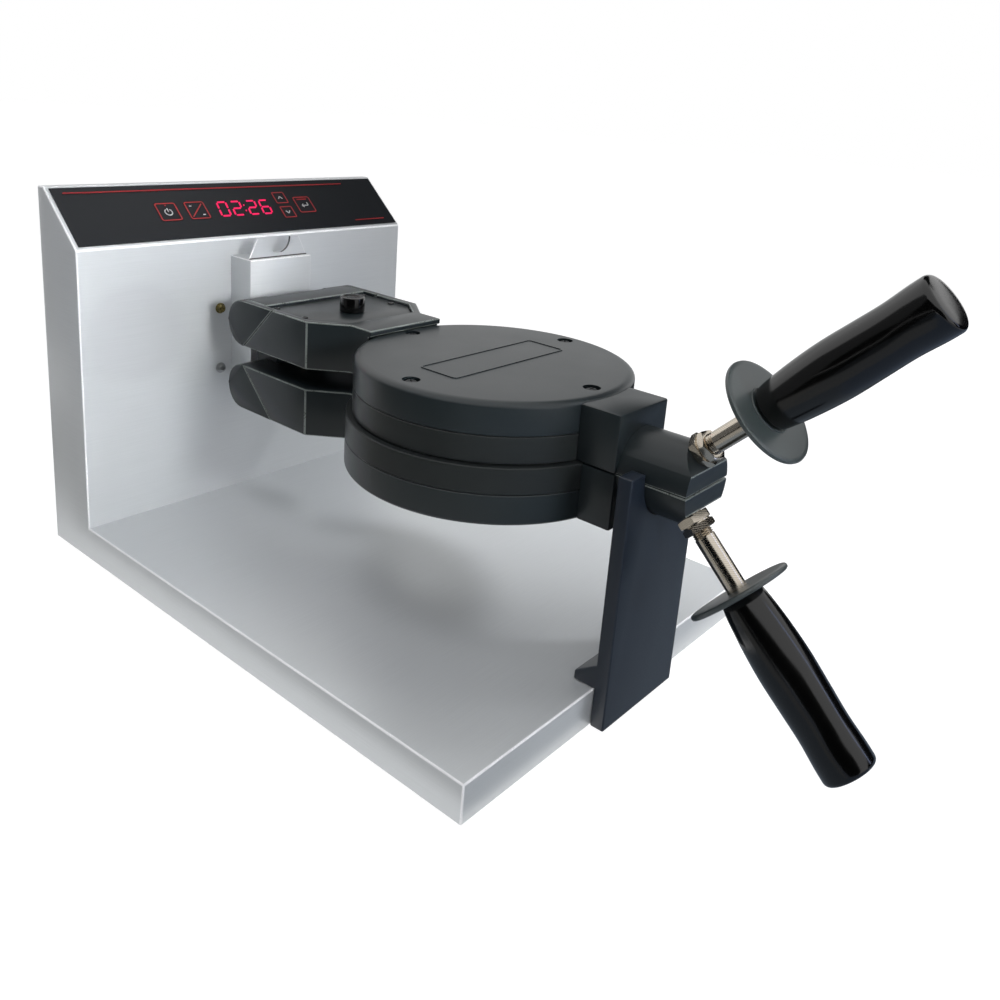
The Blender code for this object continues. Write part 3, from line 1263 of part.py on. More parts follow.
def build_arm(prefix, side, radius, empty):
    """The hollow arm, its lid, its stud, its hinge pin and the two caps over the pin's ends."""
    low, high = sorted((above_axis(side, ARM_INNER), above_axis(side, ARM_OUTER)))
    inward = OVERRUN
    plan = [
        (-ARM_NECK_HALF_WIDTH, from_front(ARM_TIP_Y)),
        (ARM_NECK_HALF_WIDTH, from_front(ARM_TIP_Y)),
        (ARM_NECK_HALF_WIDTH, from_front(ARM_NECK_Y)),
        (ARM_HALF_WIDTH, from_front(ARM_WAIST_Y)),
        (ARM_HALF_WIDTH, from_front(ARM_BACK_Y) + OVERRUN),
        (-ARM_HALF_WIDTH, from_front(ARM_BACK_Y) + OVERRUN),
        (-ARM_HALF_WIDTH, from_front(ARM_WAIST_Y)),
        (-ARM_NECK_HALF_WIDTH, from_front(ARM_NECK_Y)),
    ]
    arm = solid(f"{prefix}_arm", CAST_BLACK, add_prism, plan, low - inward, high + inward, empty=empty)
    wide = ARM_HALF_WIDTH + OVERRUN
    trim = guide(f"trim_{prefix}_arm", add_prism, arm_side(side), -wide, wide, frame=along_x())
    apply_boolean(arm, trim, "INTERSECT")
    head_reach = HEAD_HALF_DEPTH + GAP
    head_frame = place_head() @ Matrix.Scale(side, 4, (0, 0, 1))
    wall = (radius + GAP, -OVERRUN, head_reach, 2 * ROUND_STEPS)
    head_cut = guide(f"cut_{prefix}_arm_front", add_cylinder, *wall, frame=head_frame)
    apply_boolean(arm, head_cut, "DIFFERENCE")

    outer_face = above_axis(side, ARM_OUTER)
    pocket_floor = above_axis(side, ARM_INNER + ARM_FLOOR)
    lid_seat = outer_face - side * (ARM_LID_RECESS + ARM_LID_THICKNESS)
    lid_top = outer_face - side * ARM_LID_RECESS

    def pockets(bm):
        seat = sorted((lid_seat - side * GAP, outer_face + side * OVERRUN))
        add_prism(bm, lid_outline(ARM_RIM - GAP), *seat)
        deep = sorted((pocket_floor, lid_seat))
        add_prism(bm, lid_outline(ARM_RIM + ARM_LID_LEDGE), *deep)
        slot = HUB_HALF_WIDTH + HUB_SIDE_GAP
        front = from_front(CLEVIS_FRONT_Y)
        roof_back = from_front(HINGE_Y - CLEVIS_ROOF_TAIL)
        back = from_front(ARM_BACK_Y) + OVERRUN
        inside = above_axis(side, ARM_INNER) - side * OVERRUN
        under = sorted((inside, above_axis(side, HINGE_OFFSET + CLEVIS_ROOM)))
        add_box(bm, (-slot, front, under[0]), (slot, back, under[1]))
        add_box(bm, (-slot, roof_back, low - OVERRUN), (slot, back, high + OVERRUN))

    apply_boolean(arm, guide_group(f"cut_{prefix}_pockets", pockets), "DIFFERENCE", overlapping=True)

    pin_line = along_x(from_front(HINGE_Y), above_axis(side, HINGE_OFFSET))
    inner_cap = ARM_HALF_WIDTH - CAP_THICKNESS
    pin_reach = inner_cap + CAP_PIN_DEPTH

    def pin_hole(bm):
        add_cylinder(bm, HINGE_PIN_RADIUS + GAP, -wide, wide, SMALL_STEPS, frame=pin_line)

    apply_boolean(arm, guide_group(f"cut_{prefix}_pin_hole", pin_hole), "DIFFERENCE")

    def cap_seats(bm):
        for x_low, x_high in ((-wide, -inner_cap + GAP), (inner_cap - GAP, wide)):
            add_prism(bm, cap_outline(side, -GAP, OVERRUN), x_low, x_high, frame=along_x())

    apply_boolean(arm, guide_group(f"cut_{prefix}_cap_seats", cap_seats), "DIFFERENCE")

    cap_trim = guide(f"trim_{prefix}_caps", add_prism, arm_side(side), -wide, wide, frame=along_x())
    cap_holes = guide(
        f"cut_{prefix}_cap_holes",
        add_cylinder,
        HINGE_PIN_RADIUS + GAP,
        -pin_reach - GAP,
        pin_reach + GAP,
        SMALL_STEPS,
        frame=pin_line,
    )
    for hand, span in (("left", (-ARM_HALF_WIDTH, -inner_cap)), ("right", (inner_cap, ARM_HALF_WIDTH))):
        outline = cap_outline(side, GAP, OVERRUN)
        cap = solid(
            f"{prefix}_{hand}_cap", CAST_BLACK, add_prism, outline, *span, empty=empty, frame=along_x()
        )
        apply_boolean(cap, cap_trim, "INTERSECT")
        apply_boolean(cap, cap_holes, "DIFFERENCE")
    solid(
        f"{prefix}_hinge_pin",
        NICKEL,
        add_cylinder,
        HINGE_PIN_RADIUS,
        -pin_reach,
        pin_reach,
        SMALL_STEPS,
        frame=pin_line,
        empty=empty,
        smooth=True,
    )

    lid_span = sorted((lid_seat, lid_top))
    lid = solid(f"{prefix}_arm_lid", CAST_BLACK, add_prism, lid_outline(ARM_RIM), *lid_span, empty=empty)
    stem_place = along_z(0.0, from_front(STUD_POST_Y))
    stem_room = guide(
        f"cut_{prefix}_lid_hole",
        add_cylinder,
        STUD_STEM_RADIUS + GAP,
        lid_span[0] - OVERRUN,
        lid_span[1] + OVERRUN,
        SMALL_STEPS,
        frame=stem_place,
    )
    apply_boolean(lid, stem_room, "DIFFERENCE")
    stem_end = lid_top - side * STUD_STEM_LENGTH
    foot = lid_top + side * GAP
    crown = lid_top + side * STUD_POST_HEIGHT
    profile = [
        (0.0, stem_end),
        (STUD_STEM_RADIUS, stem_end),
        (STUD_STEM_RADIUS, foot),
        (STUD_POST_RADIUS, foot),
        (STUD_POST_RADIUS, crown - side * BEND_RADIUS),
        (STUD_POST_RADIUS - BEND_RADIUS, crown),
        (0.0, crown),
    ]
    solid(
        f"{prefix}_stud",
        BAKELITE,
        add_turned,
        profile,
        MEDIUM_STEPS,
        stem_place,
        empty=empty,
        smooth=True,
    )


def lid_outline(inset):
    """The arm's lid in plan, drawn in from the arm's outline by the rim."""
    front = from_front(ARM_NECK_Y) + inset
    waist = from_front(ARM_WAIST_Y) + inset / 2
    back = from_front(ARM_POCKET_BACK_Y) - (inset - ARM_RIM)
    neck = ARM_NECK_HALF_WIDTH - inset / 2
    wide = ARM_HALF_WIDTH - inset
    return [(-neck, front), (neck, front), (wide, waist), (wide, back), (-wide, back), (-wide, waist)]


def cap_outline(side, inset, overrun):
    """The hinge cap's side view: behind a slanted seam, with room to be trimmed by the arm."""
    inner = above_axis(side, ARM_INNER) - side * overrun
    outer = above_axis(side, ARM_OUTER) + side * overrun
    seam = CAP_SEAM_INNER_Y - CAP_SEAM_OUTER_Y
    rise = ARM_OUTER - ARM_INNER
    lean = overrun * seam / rise
    shift = inset * math.hypot(seam, rise) / rise
    back = from_front(ARM_BACK_Y) + overrun
    return [
        (from_front(CAP_SEAM_INNER_Y) + shift + lean, inner),
        (back, inner),
        (back, outer),
        (from_front(CAP_SEAM_OUTER_Y) + shift - lean, outer),
    ]


# front post


def build_post():
    """The post before the body, with its cradle above and its foot on the tray."""
    back = from_front(-GAP)
    front = back - POST_THICKNESS
    foot_low = above_body(TRAY_HEIGHT + GAP)
    root = above_body(TRAY_HEIGHT + FOOT_ROOT_HEIGHT)
    tip = above_body(TRAY_HEIGHT + FOOT_TIP_HEIGHT)
    side_view = [
        (front, BODY_LIFT),
        (back, BODY_LIFT),
        (back, foot_low),
        (from_front(FOOT_REACH), foot_low),
        (from_front(FOOT_REACH), tip),
        (back, root),
        (back, above_body(POST_HEIGHT)),
        (front, above_body(POST_HEIGHT)),
    ]
    post = solid(
        "post", POST_BLACK, add_prism, side_view, -POST_HALF_WIDTH, POST_HALF_WIDTH, frame=along_x()
    )
    radius = COLLAR_RADIUS + CRADLE_GAP
    cradle = arc((0.0, 0.0), radius, 0.0, math.pi, HALF_TURN_STEPS)
    top = AXIS_Z - above_body(POST_HEIGHT) - OVERRUN
    cradle += [(-radius, top), (radius, top)]

    cut = guide(
        "cut_cradle", add_prism, cradle, front - OVERRUN, back + OVERRUN, frame=along_y(z=AXIS_Z)
    )
    apply_boolean(post, cut, "DIFFERENCE")


flip_axis = joint_empty("flip_axis", (0, from_front(BASE_LENGTH), AXIS_Z))
lid_axis = joint_empty("lid_axis", (0, from_front(HINGE_Y), above_axis(1, HINGE_OFFSET)))
build_housing()
build_panels()
build_controls()
build_power_parts()
build_bearing()
build_post()
build_rotor(flip_axis)
build_half("lower", -1, LOWER_RADIUS, flip_axis)
build_half("upper", 1, UPPER_RADIUS, lid_axis)
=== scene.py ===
"""Looks of the flip waffle maker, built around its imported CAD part.

Everything is in metres and in the frame of the CAD part: +Z up, +Y towards the tower, the operator
at -Y. Nodes whose shape is right keep it and get their finish. The pieces that the eye meets first
are modelled again with rounded edges, threads, screws and printed marks.
"""
import logging
import math
from contextlib import contextmanager
from dataclasses import dataclass
from enum import Enum
from typing import Callable, Iterator

import bmesh
import bpy
from mathutils import Matrix, Vector


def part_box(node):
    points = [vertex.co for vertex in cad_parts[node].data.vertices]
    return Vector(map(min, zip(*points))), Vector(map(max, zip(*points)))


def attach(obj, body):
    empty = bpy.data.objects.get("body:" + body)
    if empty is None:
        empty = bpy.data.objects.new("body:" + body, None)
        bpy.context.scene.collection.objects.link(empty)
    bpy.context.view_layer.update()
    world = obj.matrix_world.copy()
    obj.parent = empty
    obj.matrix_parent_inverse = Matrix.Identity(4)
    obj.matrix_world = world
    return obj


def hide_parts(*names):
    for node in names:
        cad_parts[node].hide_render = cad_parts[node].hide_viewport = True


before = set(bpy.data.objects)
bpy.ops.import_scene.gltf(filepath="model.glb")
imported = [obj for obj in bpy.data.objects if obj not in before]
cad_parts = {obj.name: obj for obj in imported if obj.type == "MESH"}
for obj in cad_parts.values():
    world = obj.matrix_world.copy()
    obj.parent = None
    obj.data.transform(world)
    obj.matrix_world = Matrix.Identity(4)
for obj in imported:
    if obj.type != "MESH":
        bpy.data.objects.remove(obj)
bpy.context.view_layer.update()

LOG = logging.getLogger("waffle_maker")
MM = 0.001
SHARP = math.radians(38)
HAIR = 1e-5
Node = bpy.types.Node
Socket = bpy.types.NodeSocket
Tree = bpy.types.NodeTree
Point = tuple[float, float, float]


# finishes


def linear(colour: str) -> tuple[float, float, float, float]:
    """Turn an sRGB hex colour to linear.

    Args:
        colour: six hex digits.

    Returns:
        Red, green, blue and an alpha of 1.
    """
    parts = [int(colour[i : i + 2], 16) / 255 for i in (0, 2, 4)]
    return (*(c / 12.92 if c <= 0.04045 else ((c + 0.055) / 1.055) ** 2.4 for c in parts), 1.0)


def add_node(tree: Tree, kind: str, inputs: dict | None = None, **settings: object) -> Node:
    """Add one node with its settings and links.

    Args:
        tree: the node tree.
        kind: the node's type.
        inputs: socket name or number to a value, or to the output that feeds it.
        settings: properties of the node.

    Returns:
        The new node.
    """
    node = tree.nodes.new(kind)
    for key, value in settings.items():
        setattr(node, key, value)
    for key, value in (inputs or {}).items():
        if isinstance(value, Socket):
            tree.links.new(value, node.inputs[key])
        else:
            node.inputs[key].default_value = value
    return node


@dataclass(frozen=True)
class Finish:
    """A finish with an even grain: clouded colour, uneven gloss and a fine relief."""

    name: str
    slot: str
    colour: str
    roughness: float
    metallic: float = 0.0
    ior: float = 1.5
    grain_mm: float = 0.6
    relief_mm: float = 0.02
    cloud_mm: float = 30.0
    cloud: float = 0.12
    gloss_spread: float = 0.06

    def material(self) -> bpy.types.Material:
        """Return this finish's material, made once."""
        made = bpy.data.materials.get(self.name)
        if made:
            return made
        made = bpy.data.materials.new(self.name)
        made.use_nodes = True
        tree = made.node_tree
        shader = tree.nodes["Principled BSDF"]
        values = {
            "Base Color": linear(self.colour),
            "Roughness": self.roughness,
            "Metallic": self.metallic,
            "IOR": self.ior,
        }
        for socket, value in values.items():
            shader.inputs[socket].default_value = value
        self.pattern(tree, shader)
        return made

    def height(self, tree: Tree, place: Socket) -> Socket:
        """Return the fine relief of the surface as an output from 0 to 1."""
        grain = {"Vector": place, "Scale": 1 / (self.grain_mm * MM), "Detail": 3.0}
        return add_node(tree, "ShaderNodeTexNoise", grain).outputs["Fac"]

    def pattern(self, tree: Tree, shader: Node) -> None:
        """Draw the clouding, the uneven gloss and the relief."""
        place = add_node(tree, "ShaderNodeTexCoord").outputs["Object"]
        height = self.height(tree, place)
        broad = {"Vector": place, "Scale": 1 / (self.cloud_mm * MM), "Detail": 4.0}
        clouds = add_node(tree, "ShaderNodeTexNoise", broad).outputs["Fac"]
        both = add_node(tree, "ShaderNodeMath", {0: clouds, 1: height}, operation="ADD").outputs[0]
        spread = {0: both, 1: 0.6, 2: 1.4}
        base = linear(self.colour)
        dark = tuple(c * (1 - self.cloud) for c in base[:3]) + (1.0,)
        light = tuple(min(1.0, c * (1 + self.cloud)) for c in base[:3]) + (1.0,)
        share = add_node(tree, "ShaderNodeMapRange", {**spread, 3: 0.0, 4: 1.0}).outputs[0]
        tones = {0: share, 6: dark, 7: light}
        tint = add_node(tree, "ShaderNodeMix", tones, data_type="RGBA")
        tree.links.new(tint.outputs[2], shader.inputs["Base Color"])
        low, high = self.roughness - self.gloss_spread, self.roughness + self.gloss_spread
        gloss = add_node(tree, "ShaderNodeMapRange", {**spread, 3: low, 4: high}).outputs[0]
        tree.links.new(gloss, shader.inputs["Roughness"])
        relief = {"Height": height, "Distance": self.relief_mm * MM, "Strength": 1.0}
        bump = add_node(tree, "ShaderNodeBump", relief)
        tree.links.new(bump.outputs[0], shader.inputs["Normal"])


@dataclass(frozen=True)
class BrushedSheet(Finish):
    """Sheet metal with a brushed grain that follows each folded face."""

    streak_mm: float = 45.0

    def height(self, tree: Tree, place: Socket) -> Socket:
        """Return streaks along X, and along Y on the faces that look sideways."""
        fine = 1 / (self.grain_mm * MM)
        long = 1 / (self.streak_mm * MM)
        streaks = []
        for scale in ((long, fine, fine), (fine, long, fine)):
            drawn = add_node(tree, "ShaderNodeMapping", {"Vector": place, "Scale": scale})
            streak = {"Vector": drawn.outputs[0], "Scale": 1.0, "Detail": 2.0}
            streaks.append(add_node(tree, "ShaderNodeTexNoise", streak).outputs["Fac"])
        normal = add_node(tree, "ShaderNodeNewGeometry").outputs["True Normal"]
        parts = add_node(tree, "ShaderNodeSeparateXYZ", {0: normal})
        aside = add_node(tree, "ShaderNodeMath", {0: parts.outputs[0]}, operation="ABSOLUTE")
        either = {0: aside.outputs[0], 2: streaks[0], 3: streaks[1]}
        chosen = add_node(tree, "ShaderNodeMix", either)
        return chosen.outputs[0]


@dataclass(frozen=True)
class Pored(Finish):
    """A surface with open pores or lumps, such as sintered bronze or mineral fibre."""

    def height(self, tree: Tree, place: Socket) -> Socket:
        """Return rounded cells."""
        cells = add_node(
            tree, "ShaderNodeTexVoronoi", {"Vector": place, "Scale": 1 / (self.grain_mm * MM)}
        )
        return cells.outputs["Distance"]


@dataclass(frozen=True)
class Banded(Finish):
    """A surface with lines across its length: turned metal, braid or board traces."""

    direction: str = "Y"

    def height(self, tree: Tree, place: Socket) -> Socket:
        """Return soft bands, a little uneven."""
        bands = add_node(
            tree,
            "ShaderNodeTexWave",
            {"Vector": place, "Scale": 0.314 / (self.grain_mm * MM), "Distortion": 1.5},
            bands_direction=self.direction,
        )
        return bands.outputs["Fac"]


@dataclass(frozen=True)
class Lit(Finish):
    """A printed or lit mark that glows by itself."""

    strength: float = 1.0

    def pattern(self, tree: Tree, shader: Node) -> None:
        """Light the mark, slightly uneven from end to end."""
        shader.inputs["Emission Color"].default_value = linear(self.colour)
        place = add_node(tree, "ShaderNodeTexCoord").outputs["Object"]
        grain = {"Vector": place, "Scale": 1 / (self.grain_mm * MM)}
        spots = add_node(tree, "ShaderNodeTexNoise", grain).outputs["Fac"]
        values = {0: spots, 1: 0.3, 2: 0.7, 3: 0.85 * self.strength, 4: self.strength}
        glow = add_node(tree, "ShaderNodeMapRange", values).outputs[0]
        tree.links.new(glow, shader.inputs["Emission Strength"])


class Finishes(Enum):
    """The materials of this machine, with painted highlights on some edges and painted shade in
    two places.
    """

    # 304 sheet, brushed and degreased: pale neutral grey with soft wide highlights; the sideways
    # grain is drawn 0.5 mm coarse so that it shows
    STAINLESS = BrushedSheet(
        "satin brushed stainless steel", "stainless", "d2d5d6", 0.42, 0.42,
        grain_mm=0.5, relief_mm=0.004, cloud_mm=120, cloud=0.05, gloss_spread=0.05,
    )
    # the same sheet with a painted highlight on its rounded folds: a thin bright line
    STEEL_FOLD = Finish(
        "pressed stainless fold", "stainless", "fafbfc", 0.26, 0.10,
        grain_mm=0.5, relief_mm=0.002, cloud_mm=30, cloud=0.04, gloss_spread=0.04,
    )
    # painted shade on the notch's shaded inner cheek: dull, darker than the skin
    SHEARED = Finish(
        "painted shade in the tab notch", "stainless", "4c4f50", 0.50, 0.55,
        grain_mm=0.4, relief_mm=0.02, cloud_mm=4, cloud=0.25,
    )
    # painted shade: a warm dark grey, a little shiny strip that stands for the shaded line at the
    # tab's foot
    SEALANT = Finish(
        "painted shade line at the tab foot", "rubber", "4a4643", 0.42, 0.0, 1.41,
        grain_mm=0.9, relief_mm=0.02, cloud_mm=6, cloud=0.15,
    )
    # zinc plated and yellow passivated screws: dull brass colour with darker patches
    YELLOW_ZINC = Finish(
        "yellow passivated zinc plating", "zinc", "8d8258", 0.28, 1.0,
        grain_mm=0.8, relief_mm=0.01, cloud_mm=3, cloud=0.25,
    )
    # blue passivated zinc on the bottom plate and screws: blue-grey, cloudy
    ZINC = Finish(
        "blue passivated zinc plating", "zinc", "a7a9aa", 0.36, 1.0,
        grain_mm=0.7, relief_mm=0.008, cloud_mm=14, cloud=0.14,
    )
    # bright nickel plating on turned steel: warm, nearly a mirror, with faint turning lines
    NICKEL = Banded(
        "bright nickel plating", "nickel", "cbc2b4", 0.17, 1.0,
        grain_mm=0.9, relief_mm=0.002, cloud_mm=9, cloud=0.08, gloss_spread=0.04, direction="Z",
    )
    # high-temperature silicone paint on cast aluminium: green-black, satin, a little uneven
    CAST_COATED = Finish(
        "satin heat-proof coating on casting", "cast_coated", "1b2123", 0.33,
        grain_mm=0.55, relief_mm=0.009, cloud_mm=45, cloud=0.14, gloss_spread=0.05,
    )
    # the same coating with a painted highlight on its rounded edges: grey and shiny
    CAST_EDGE = Finish(
        "rubbed edge of the casting", "cast_coated", "7f8581", 0.30, 0.45,
        grain_mm=0.8, relief_mm=0.006, cloud_mm=9, cloud=0.30, gloss_spread=0.06,
    )
    # blackened screw heads: dull blue-black, a little oily
    BLACK_OXIDE = Finish(
        "black oxide on steel", "zinc", "2c2e30", 0.40, 0.7,
        grain_mm=0.6, relief_mm=0.006, cloud_mm=3, cloud=0.2,
    )
    # fluoropolymer over blasted aluminium: near black, sleek, with a fine speckle
    NON_STICK = Finish(
        "fluoropolymer non-stick coating", "plate_coating", "1f2222", 0.34, 0.0, 1.38,
        grain_mm=0.4, relief_mm=0.01, cloud_mm=25, cloud=0.18,
    )
    # powder coated steel post: slate black with a shallow orange peel
    POST_PAINT = Finish(
        "slate powder coating", "post_paint", "1c232d", 0.36,
        grain_mm=1.1, relief_mm=0.015, cloud_mm=60, cloud=0.08, gloss_spread=0.04,
    )
    # moulded phenolic: jet black, polished by the mould, with the faintest flow marks
    BAKELITE = Finish(
        "polished black bakelite", "bakelite", "060606", 0.15, 0.0, 1.55,
        grain_mm=14, relief_mm=0.02, cloud_mm=22, cloud=0.3, gloss_spread=0.03,
    )
    # pressed phenolic disc: grey-black, satin
    GUARD = Finish(
        "satin phenolic disc", "guard_disc", "3c4343", 0.36, 0.0, 1.7,
        grain_mm=0.5, relief_mm=0.01, cloud_mm=18, cloud=0.15,
    )
    # polyester overlay, printed from behind: blue-black under a velvety front
    OVERLAY = Finish(
        "velvet polyester overlay", "overlay_film", "1a1c1f", 0.32, 0.0, 1.30,
        grain_mm=0.45, relief_mm=0.004, cloud_mm=80, cloud=0.05, gloss_spread=0.03,
    )
    # the same film where a key is embossed: a shade lighter
    KEY_FILM = Finish(
        "embossed polyester key", "key_film", "191b1f", 0.36, 0.0, 1.30,
        grain_mm=0.45, relief_mm=0.004, cloud_mm=20, cloud=0.06, gloss_spread=0.03,
    )
    # red filter glass over the digits
    WINDOW = Finish(
        "dark red display filter", "display_window", "2a0a10", 0.12, 0.0, 1.49,
        grain_mm=2, relief_mm=0.002, cloud_mm=20, cloud=0.1, gloss_spread=0.02,
    )
    # screen printed ink: flat, slightly dusty, red for outlines and pale grey for marks
    RED_PRINT = Finish(
        "red screen print", "overlay_film", "9c2a2c", 0.55,
        grain_mm=0.4, relief_mm=0.003, cloud_mm=8, cloud=0.18,
    )
    PALE_PRINT = Finish(
        "pale grey screen print", "overlay_film", "b9bcbd", 0.5,
        grain_mm=0.4, relief_mm=0.003, cloud_mm=6, cloud=0.12,
    )
    # light-emitting segment behind the filter: magenta red, a little uneven
    DIGIT = Lit(
        "lit magenta red segment", "display_window", "d01a56", 0.4, grain_mm=2.0, strength=0.7
    )
    # moulded feet: dull black
    RUBBER = Pored(
        "black nitrile rubber", "rubber", "1b1b1b", 0.75, 0.0, 1.52,
        grain_mm=0.7, relief_mm=0.03, cloud_mm=8, cloud=0.2,
    )
    # self-lubricating bush: brown gold with oil-filled pores
    BRONZE = Pored(
        "sintered bronze", "bronze", "a5763f", 0.42, 1.0,
        grain_mm=0.5, relief_mm=0.03, cloud_mm=5, cloud=0.2,
    )
    # circuit board lacquer over copper tracks: deep green, glossy
    BOARD = Banded(
        "green solder mask", "circuit_board", "1c5a39", 0.32, 0.0, 1.55,
        grain_mm=2.5, relief_mm=0.04, cloud_mm=12, cloud=0.25, direction="X",
    )
    # appliance inlet: matt black, finely eroded
    INLET = Finish(
        "black moulded polyamide", "inlet_plastic", "151515", 0.5, 0.0, 1.53,
        grain_mm=0.5, relief_mm=0.02, cloud_mm=10, cloud=0.15,
    )
    # sleeve over the wires: cream, matt, woven
    SLEEVE = Banded(
        "braided glass fibre sleeve", "sleeve", "d6d0bd", 0.85, 0.0, 1.5,
        grain_mm=1.2, relief_mm=0.15, cloud_mm=6, cloud=0.15,
    )
    # steel tube of the heater, blued and browned by heat
    HEATER = Finish(
        "annealed heater sheath", "heater_sheath", "6f6a60", 0.42, 1.0,
        grain_mm=0.8, relief_mm=0.02, cloud_mm=12, cloud=0.25,
    )
    # insulating pad: straw coloured, rough, without shine
    FIBRE = Pored(
        "pressed mineral fibre", "mineral_fibre", "cbbf9f", 0.9, 0.0, 1.5,
        grain_mm=1.5, relief_mm=0.25, cloud_mm=7, cloud=0.2,
    )


# workshop


class Workpiece:
    """A mesh that is shaped in edit mode and finished with modifiers."""

    def __init__(self, name: str) -> None:
        """Take the object that Blender has just added."""
        self.obj = bpy.context.object
        self.obj.name = name
        self.obj.data.name = name

    @staticmethod
    def disc(name: str, radius: float, height: float = 0.0, steps: int = 96) -> "Workpiece":
        """Start from a filled circle at a height of the Z axis."""
        bpy.ops.object.select_all(action="DESELECT")
        bpy.ops.mesh.primitive_circle_add(
            vertices=steps, radius=radius, fill_type="NGON", location=(0, 0, height)
        )
        bpy.ops.object.transform_apply()
        return Workpiece(name)

    @staticmethod
    def block(name: str, low: Point, high: Point) -> "Workpiece":
        """Start from a box between two corners."""
        bpy.ops.object.select_all(action="DESELECT")
        middle = [(a + b) / 2 for a, b in zip(low, high)]
        bpy.ops.mesh.primitive_cube_add(
            size=1.0, location=middle, scale=[b - a for a, b in zip(low, high)]
        )
        bpy.ops.object.transform_apply()
        return Workpiece(name)

    @staticmethod
    def node_copy(name: str, node: str) -> "Workpiece":
        """Start from a merged copy of a CAD node, with its flat faces whole."""
        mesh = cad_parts[node].data.copy()
        mesh.materials.clear()
        made = bpy.data.objects.new(name, mesh)
        bpy.context.scene.collection.objects.link(made)
        bpy.ops.object.select_all(action="DESELECT")
        bpy.context.view_layer.objects.active = made
        made.select_set(True)
        if mesh.has_custom_normals:
            bpy.ops.mesh.customdata_custom_splitnormals_clear()
        piece = Workpiece(name)
        with piece.editing():
            bpy.ops.mesh.select_all(action="SELECT")
            bpy.ops.mesh.remove_doubles(threshold=2e-6)
            bpy.ops.mesh.dissolve_limited(angle_limit=math.radians(0.6))
        return piece

    def choose(self, *others: "Workpiece") -> None:
        """Select this piece, make it active, and select others with it."""
        bpy.ops.object.select_all(action="DESELECT")
        bpy.context.view_layer.objects.active = self.obj
        for piece in (self, *others):
            piece.obj.select_set(True)

    @contextmanager
    def editing(self, mode: str = "FACE") -> Iterator[bmesh.types.BMesh]:
        """Open edit mode with nothing selected, and leave it again."""
        self.choose()
        bpy.ops.object.mode_set(mode="EDIT")
        bpy.ops.mesh.select_mode(type=mode)
        bpy.ops.mesh.select_all(action="DESELECT")
        yield bmesh.from_edit_mesh(self.obj.data)
        bpy.ops.object.mode_set(mode="OBJECT")

    def pick_faces(self, test: Callable[[Vector, Vector], bool]) -> None:
        """Select the faces whose middle and normal pass a test. Edit mode is open."""
        mesh = bmesh.from_edit_mesh(self.obj.data)
        mesh.normal_update()
        for face in mesh.faces:
            face.select_set(bool(test(face.calc_center_median(), face.normal)))
        bmesh.update_edit_mesh(self.obj.data)

    def soften(
        self,
        width: float,
        steps: int = 3,
        shortest: float = 0.005,
        test: Callable[[Vector], bool] | None = None,
        rubbed: bool = False,
    ) -> "Workpiece":
        """Round the long outward edges.

        Args:
            width: the rounding's width.
            steps: its segments.
            shortest: edges below this length stay as they are.
            test: keeps only edges whose middle passes it.
            rubbed: gives the rounding the second finish, a painted highlight.

        Returns:
            This piece.
        """
        while rubbed and len(self.obj.data.materials) < 2:
            self.obj.data.materials.append(None)
        with self.editing("EDGE") as mesh:
            mesh.normal_update()
            for edge in mesh.edges:
                sharp = len(edge.link_faces) == 2 and edge.calc_face_angle_signed() > SHARP
                centre = (edge.verts[0].co + edge.verts[1].co) / 2
                long = edge.calc_length() > shortest
                edge.select_set(sharp and long and (test is None or test(centre)))
            bmesh.update_edit_mesh(self.obj.data)
            bpy.ops.mesh.bevel(
                offset=width, segments=steps, clamp_overlap=False, material=1 if rubbed else -1
            )
        return self

    def round_corners(self, radius: float, steps: int) -> "Workpiece":
        """Round the edges of a block that stand along Z."""
        with self.editing("EDGE") as mesh:
            for edge in mesh.edges:
                edge.select_set(abs(edge.verts[0].co.z - edge.verts[1].co.z) > HAIR)
            bmesh.update_edit_mesh(self.obj.data)
            bpy.ops.mesh.bevel(offset=radius, segments=steps)
        return self

    def raise_rim(self, rings: list[tuple[float, float]], radius: float, height: float) -> None:
        """Extrude the selected flat face ring by ring. Edit mode is open.

        Args:
            rings: radius and height of each new ring.
            radius: the face's radius.
            height: its height.
        """
        for wanted, level in rings:
            bpy.ops.mesh.extrude_region_move(
                TRANSFORM_OT_translate={"value": (0, 0, level - height)}
            )
            share = wanted / radius
            bpy.ops.transform.resize(value=(share, share, 1), center_override=(0, 0, level))
            radius, height = wanted, level

    def grow(self, profile: list[tuple[float, float]]) -> "Workpiece":
        """Raise the disc along a profile by extruding and scaling its rim.

        Args:
            profile: radius and height of each ring after the first disc.

        Returns:
            This piece.
        """
        first = self.obj.data.vertices[0].co
        radius, height = math.hypot(first.x, first.y), first.z
        with self.editing():
            bpy.ops.mesh.select_all(action="SELECT")
            self.raise_rim(profile, radius, height)
            bpy.ops.mesh.select_all(action="SELECT")
            bpy.ops.mesh.normals_make_consistent(inside=False)
        return self

    def sink(self, downward: bool, rim: float, depth: float, draft: float = 0.0) -> "Workpiece":
        """Inset the lowest or highest flat face and push it into the piece.

        Args:
            downward: True for the lowest face.
            rim: width of the edge that stays.
            depth: how far the face goes in.
            draft: how much narrower the floor is than the mouth.

        Returns:
            This piece.
        """
        heights = [v.co.z for v in self.obj.data.vertices]
        level = min(heights) if downward else max(heights)
        way = 1 if downward else -1
        with self.editing():
            self.pick_faces(lambda c, n: abs(c.z - level) < 1e-6 and n.z * way < -0.99)
            bpy.ops.mesh.inset(thickness=rim, depth=0)
            bpy.ops.mesh.extrude_region_move(TRANSFORM_OT_translate={"value": (0, 0, way * depth)})
            if draft:
                bpy.ops.mesh.inset(thickness=draft, depth=0)
                bpy.ops.mesh.select_all(action="DESELECT")
        return self

